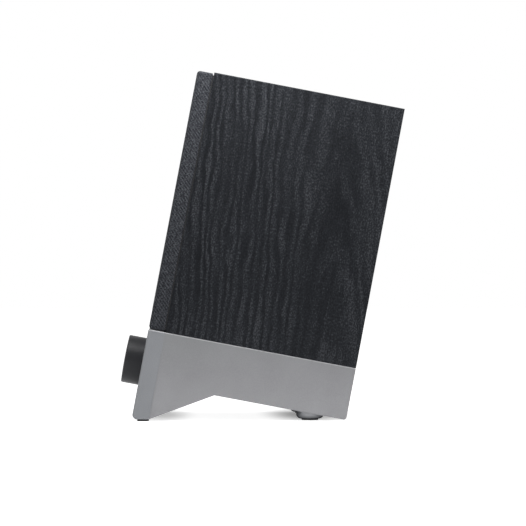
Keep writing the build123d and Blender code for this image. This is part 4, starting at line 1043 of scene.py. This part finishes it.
def half_roll(inner, outer, depth, thickness, steps=14):
    """A sheet's section, rolled to the front between two radii: its top, then its underside."""
    middle, reach = (inner + outer) / 2, (outer - inner) / 2
    less = reach - thickness
    turns = np.linspace(0, pi, steps)
    top = [(middle - reach * cos(turn), depth - reach * sin(turn)) for turn in turns]
    under = [(middle + less * cos(turn), depth - less * sin(turn)) for turn in turns]
    return top, under


def follow(piece):
    """Bake a ring's place into its mesh."""
    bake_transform(piece)


print("drivers on the desk, mm:", np.round(leaned([WOOFER, TWEETER]) / MM, 1).tolist())

# %% Turn the woofer's surround
LIP_IN, ROLL_IN, ROLL_OUT, LIP_OUT = 24.1, 26.3, 31.5, 34.9
RUBBER_FACE, RUBBER_BACK, RUBBER_THICK = 0.4, 1.2, 0.8
top, under = half_roll(ROLL_IN, ROLL_OUT, RUBBER_FACE, RUBBER_THICK)
section = [(LIP_IN, RUBBER_BACK), (LIP_IN, RUBBER_FACE + 0.15), (LIP_IN + 0.2, RUBBER_FACE), *top]
section += [(LIP_OUT - 0.2, RUBBER_FACE), (LIP_OUT, RUBBER_FACE + 0.2), (LIP_OUT, RUBBER_BACK)]
section += [(ROLL_OUT - RUBBER_THICK, RUBBER_BACK), *under, (ROLL_IN + RUBBER_THICK, RUBBER_BACK)]
woofer_roll = lathe("woofer_rubber_surround", section, WOOFER, 1, surround_rubber)
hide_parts("woofer_surround")
follow(woofer_roll)
print("surround's corners:", len(woofer_roll.data.vertices))

# %% Press the woofer's spider
NECK, WAVE_FROM, WAVE_TO, SPIDER_OUT = 12.95, 13.6, 26.1, 29.1
SPIDER_FACE, COTTON_THICK = 15.8, 0.6
WAVE_PITCH, WAVE_HALF, LAST_STILL = 2.5, 0.24, 26.0
waves = [
    (radius, SPIDER_FACE - WAVE_HALF * (1 + cos(2 * pi * (radius - WAVE_FROM) / WAVE_PITCH)))
    for radius in np.linspace(WAVE_FROM, WAVE_TO, 61)
]
front = [(NECK, SPIDER_FACE), (NECK + 0.25, SPIDER_FACE - 0.3), *waves]
front += [(WAVE_TO + 0.5, SPIDER_FACE), (SPIDER_OUT, SPIDER_FACE)]
section = front + [(radius, depth + COTTON_THICK) for radius, depth in reversed(front)]
spider_disc = lathe("woofer_cotton_spider", section, WOOFER, 1, spider_cotton, 60)
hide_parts("woofer_spider")
follow(spider_disc)
print("waves in the spider:", round((WAVE_TO - WAVE_FROM) / WAVE_PITCH))

# %% Turn the tweeter's surround
SILK_IN, SILK_OUT, SILK_RIM = 9.85, 11.85, 13.65
SILK_FACE, SILK_BACK, SILK_THICK = 5.0, 5.4, 0.4
top, under = half_roll(SILK_IN, SILK_OUT, SILK_FACE, SILK_THICK, 10)
section = [(SILK_IN, SILK_BACK), *top, (SILK_RIM, SILK_FACE), (SILK_RIM, SILK_BACK)]
section += [(SILK_OUT - SILK_THICK, SILK_BACK), *under, (SILK_IN + SILK_THICK, SILK_BACK)]
dome_roll = lathe("tweeter_silk_surround", section, TWEETER, 1, dome_silk)
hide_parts("tweeter_surround")
follow(dome_roll)
print("surround's corners:", len(dome_roll.data.vertices))

# %% [markdown]
# ## Crossover coil
# The crossover's inductor is a coil of thick enamelled wire, wound in layers without a core. CAD holds
# a plain ring for it. A real helix would have thousands of faces that nobody can tell from stacked
# rings, so the lathe spins a section whose outline is a row of little half circles, one per turn.

# %% Wind the coil
COIL_IN, COIL_OUT, COIL_LOW, COIL_HIGH, WIRE = 5.0, 11.0, 17.6, 31.6, 1.0
COIL_MIDDLE = (-24.0, BACK - 36.0, 0)


def wire_row(start, end):
    """Half circles side by side between two corners of the coil, standing out to the left of the way."""
    start, end = np.array(start, float), np.array(end, float)
    count = round(np.linalg.norm(end - start) / WIRE)
    forth = (end - start) / count
    out = np.array((-forth[1], forth[0]))
    row = []
    for turn in range(count):
        for angle in np.linspace(0, pi, 6)[:-1]:
            row.append(start + forth * (turn + (1 - cos(angle)) / 2) + out * 0.5 * sin(angle))
    return [tuple(place) for place in row]


low, high = COIL_LOW + WIRE / 2, COIL_HIGH - WIRE / 2
inside, outside = COIL_IN + WIRE / 2, COIL_OUT - WIRE / 2
corners = [(inside, low), (inside, high), (outside, high), (outside, low), (inside, low)]
section = [spot for here, following in zip(corners, corners[1:]) for spot in wire_row(here, following)]
coil = lathe("crossover_wound_coil", section, COIL_MIDDLE, 2, choke_copper, 75, 96)
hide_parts("crossover_inductor")
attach(coil, "cabinet")
print("wire turns in the outer layer:", round((high - low) / WIRE))
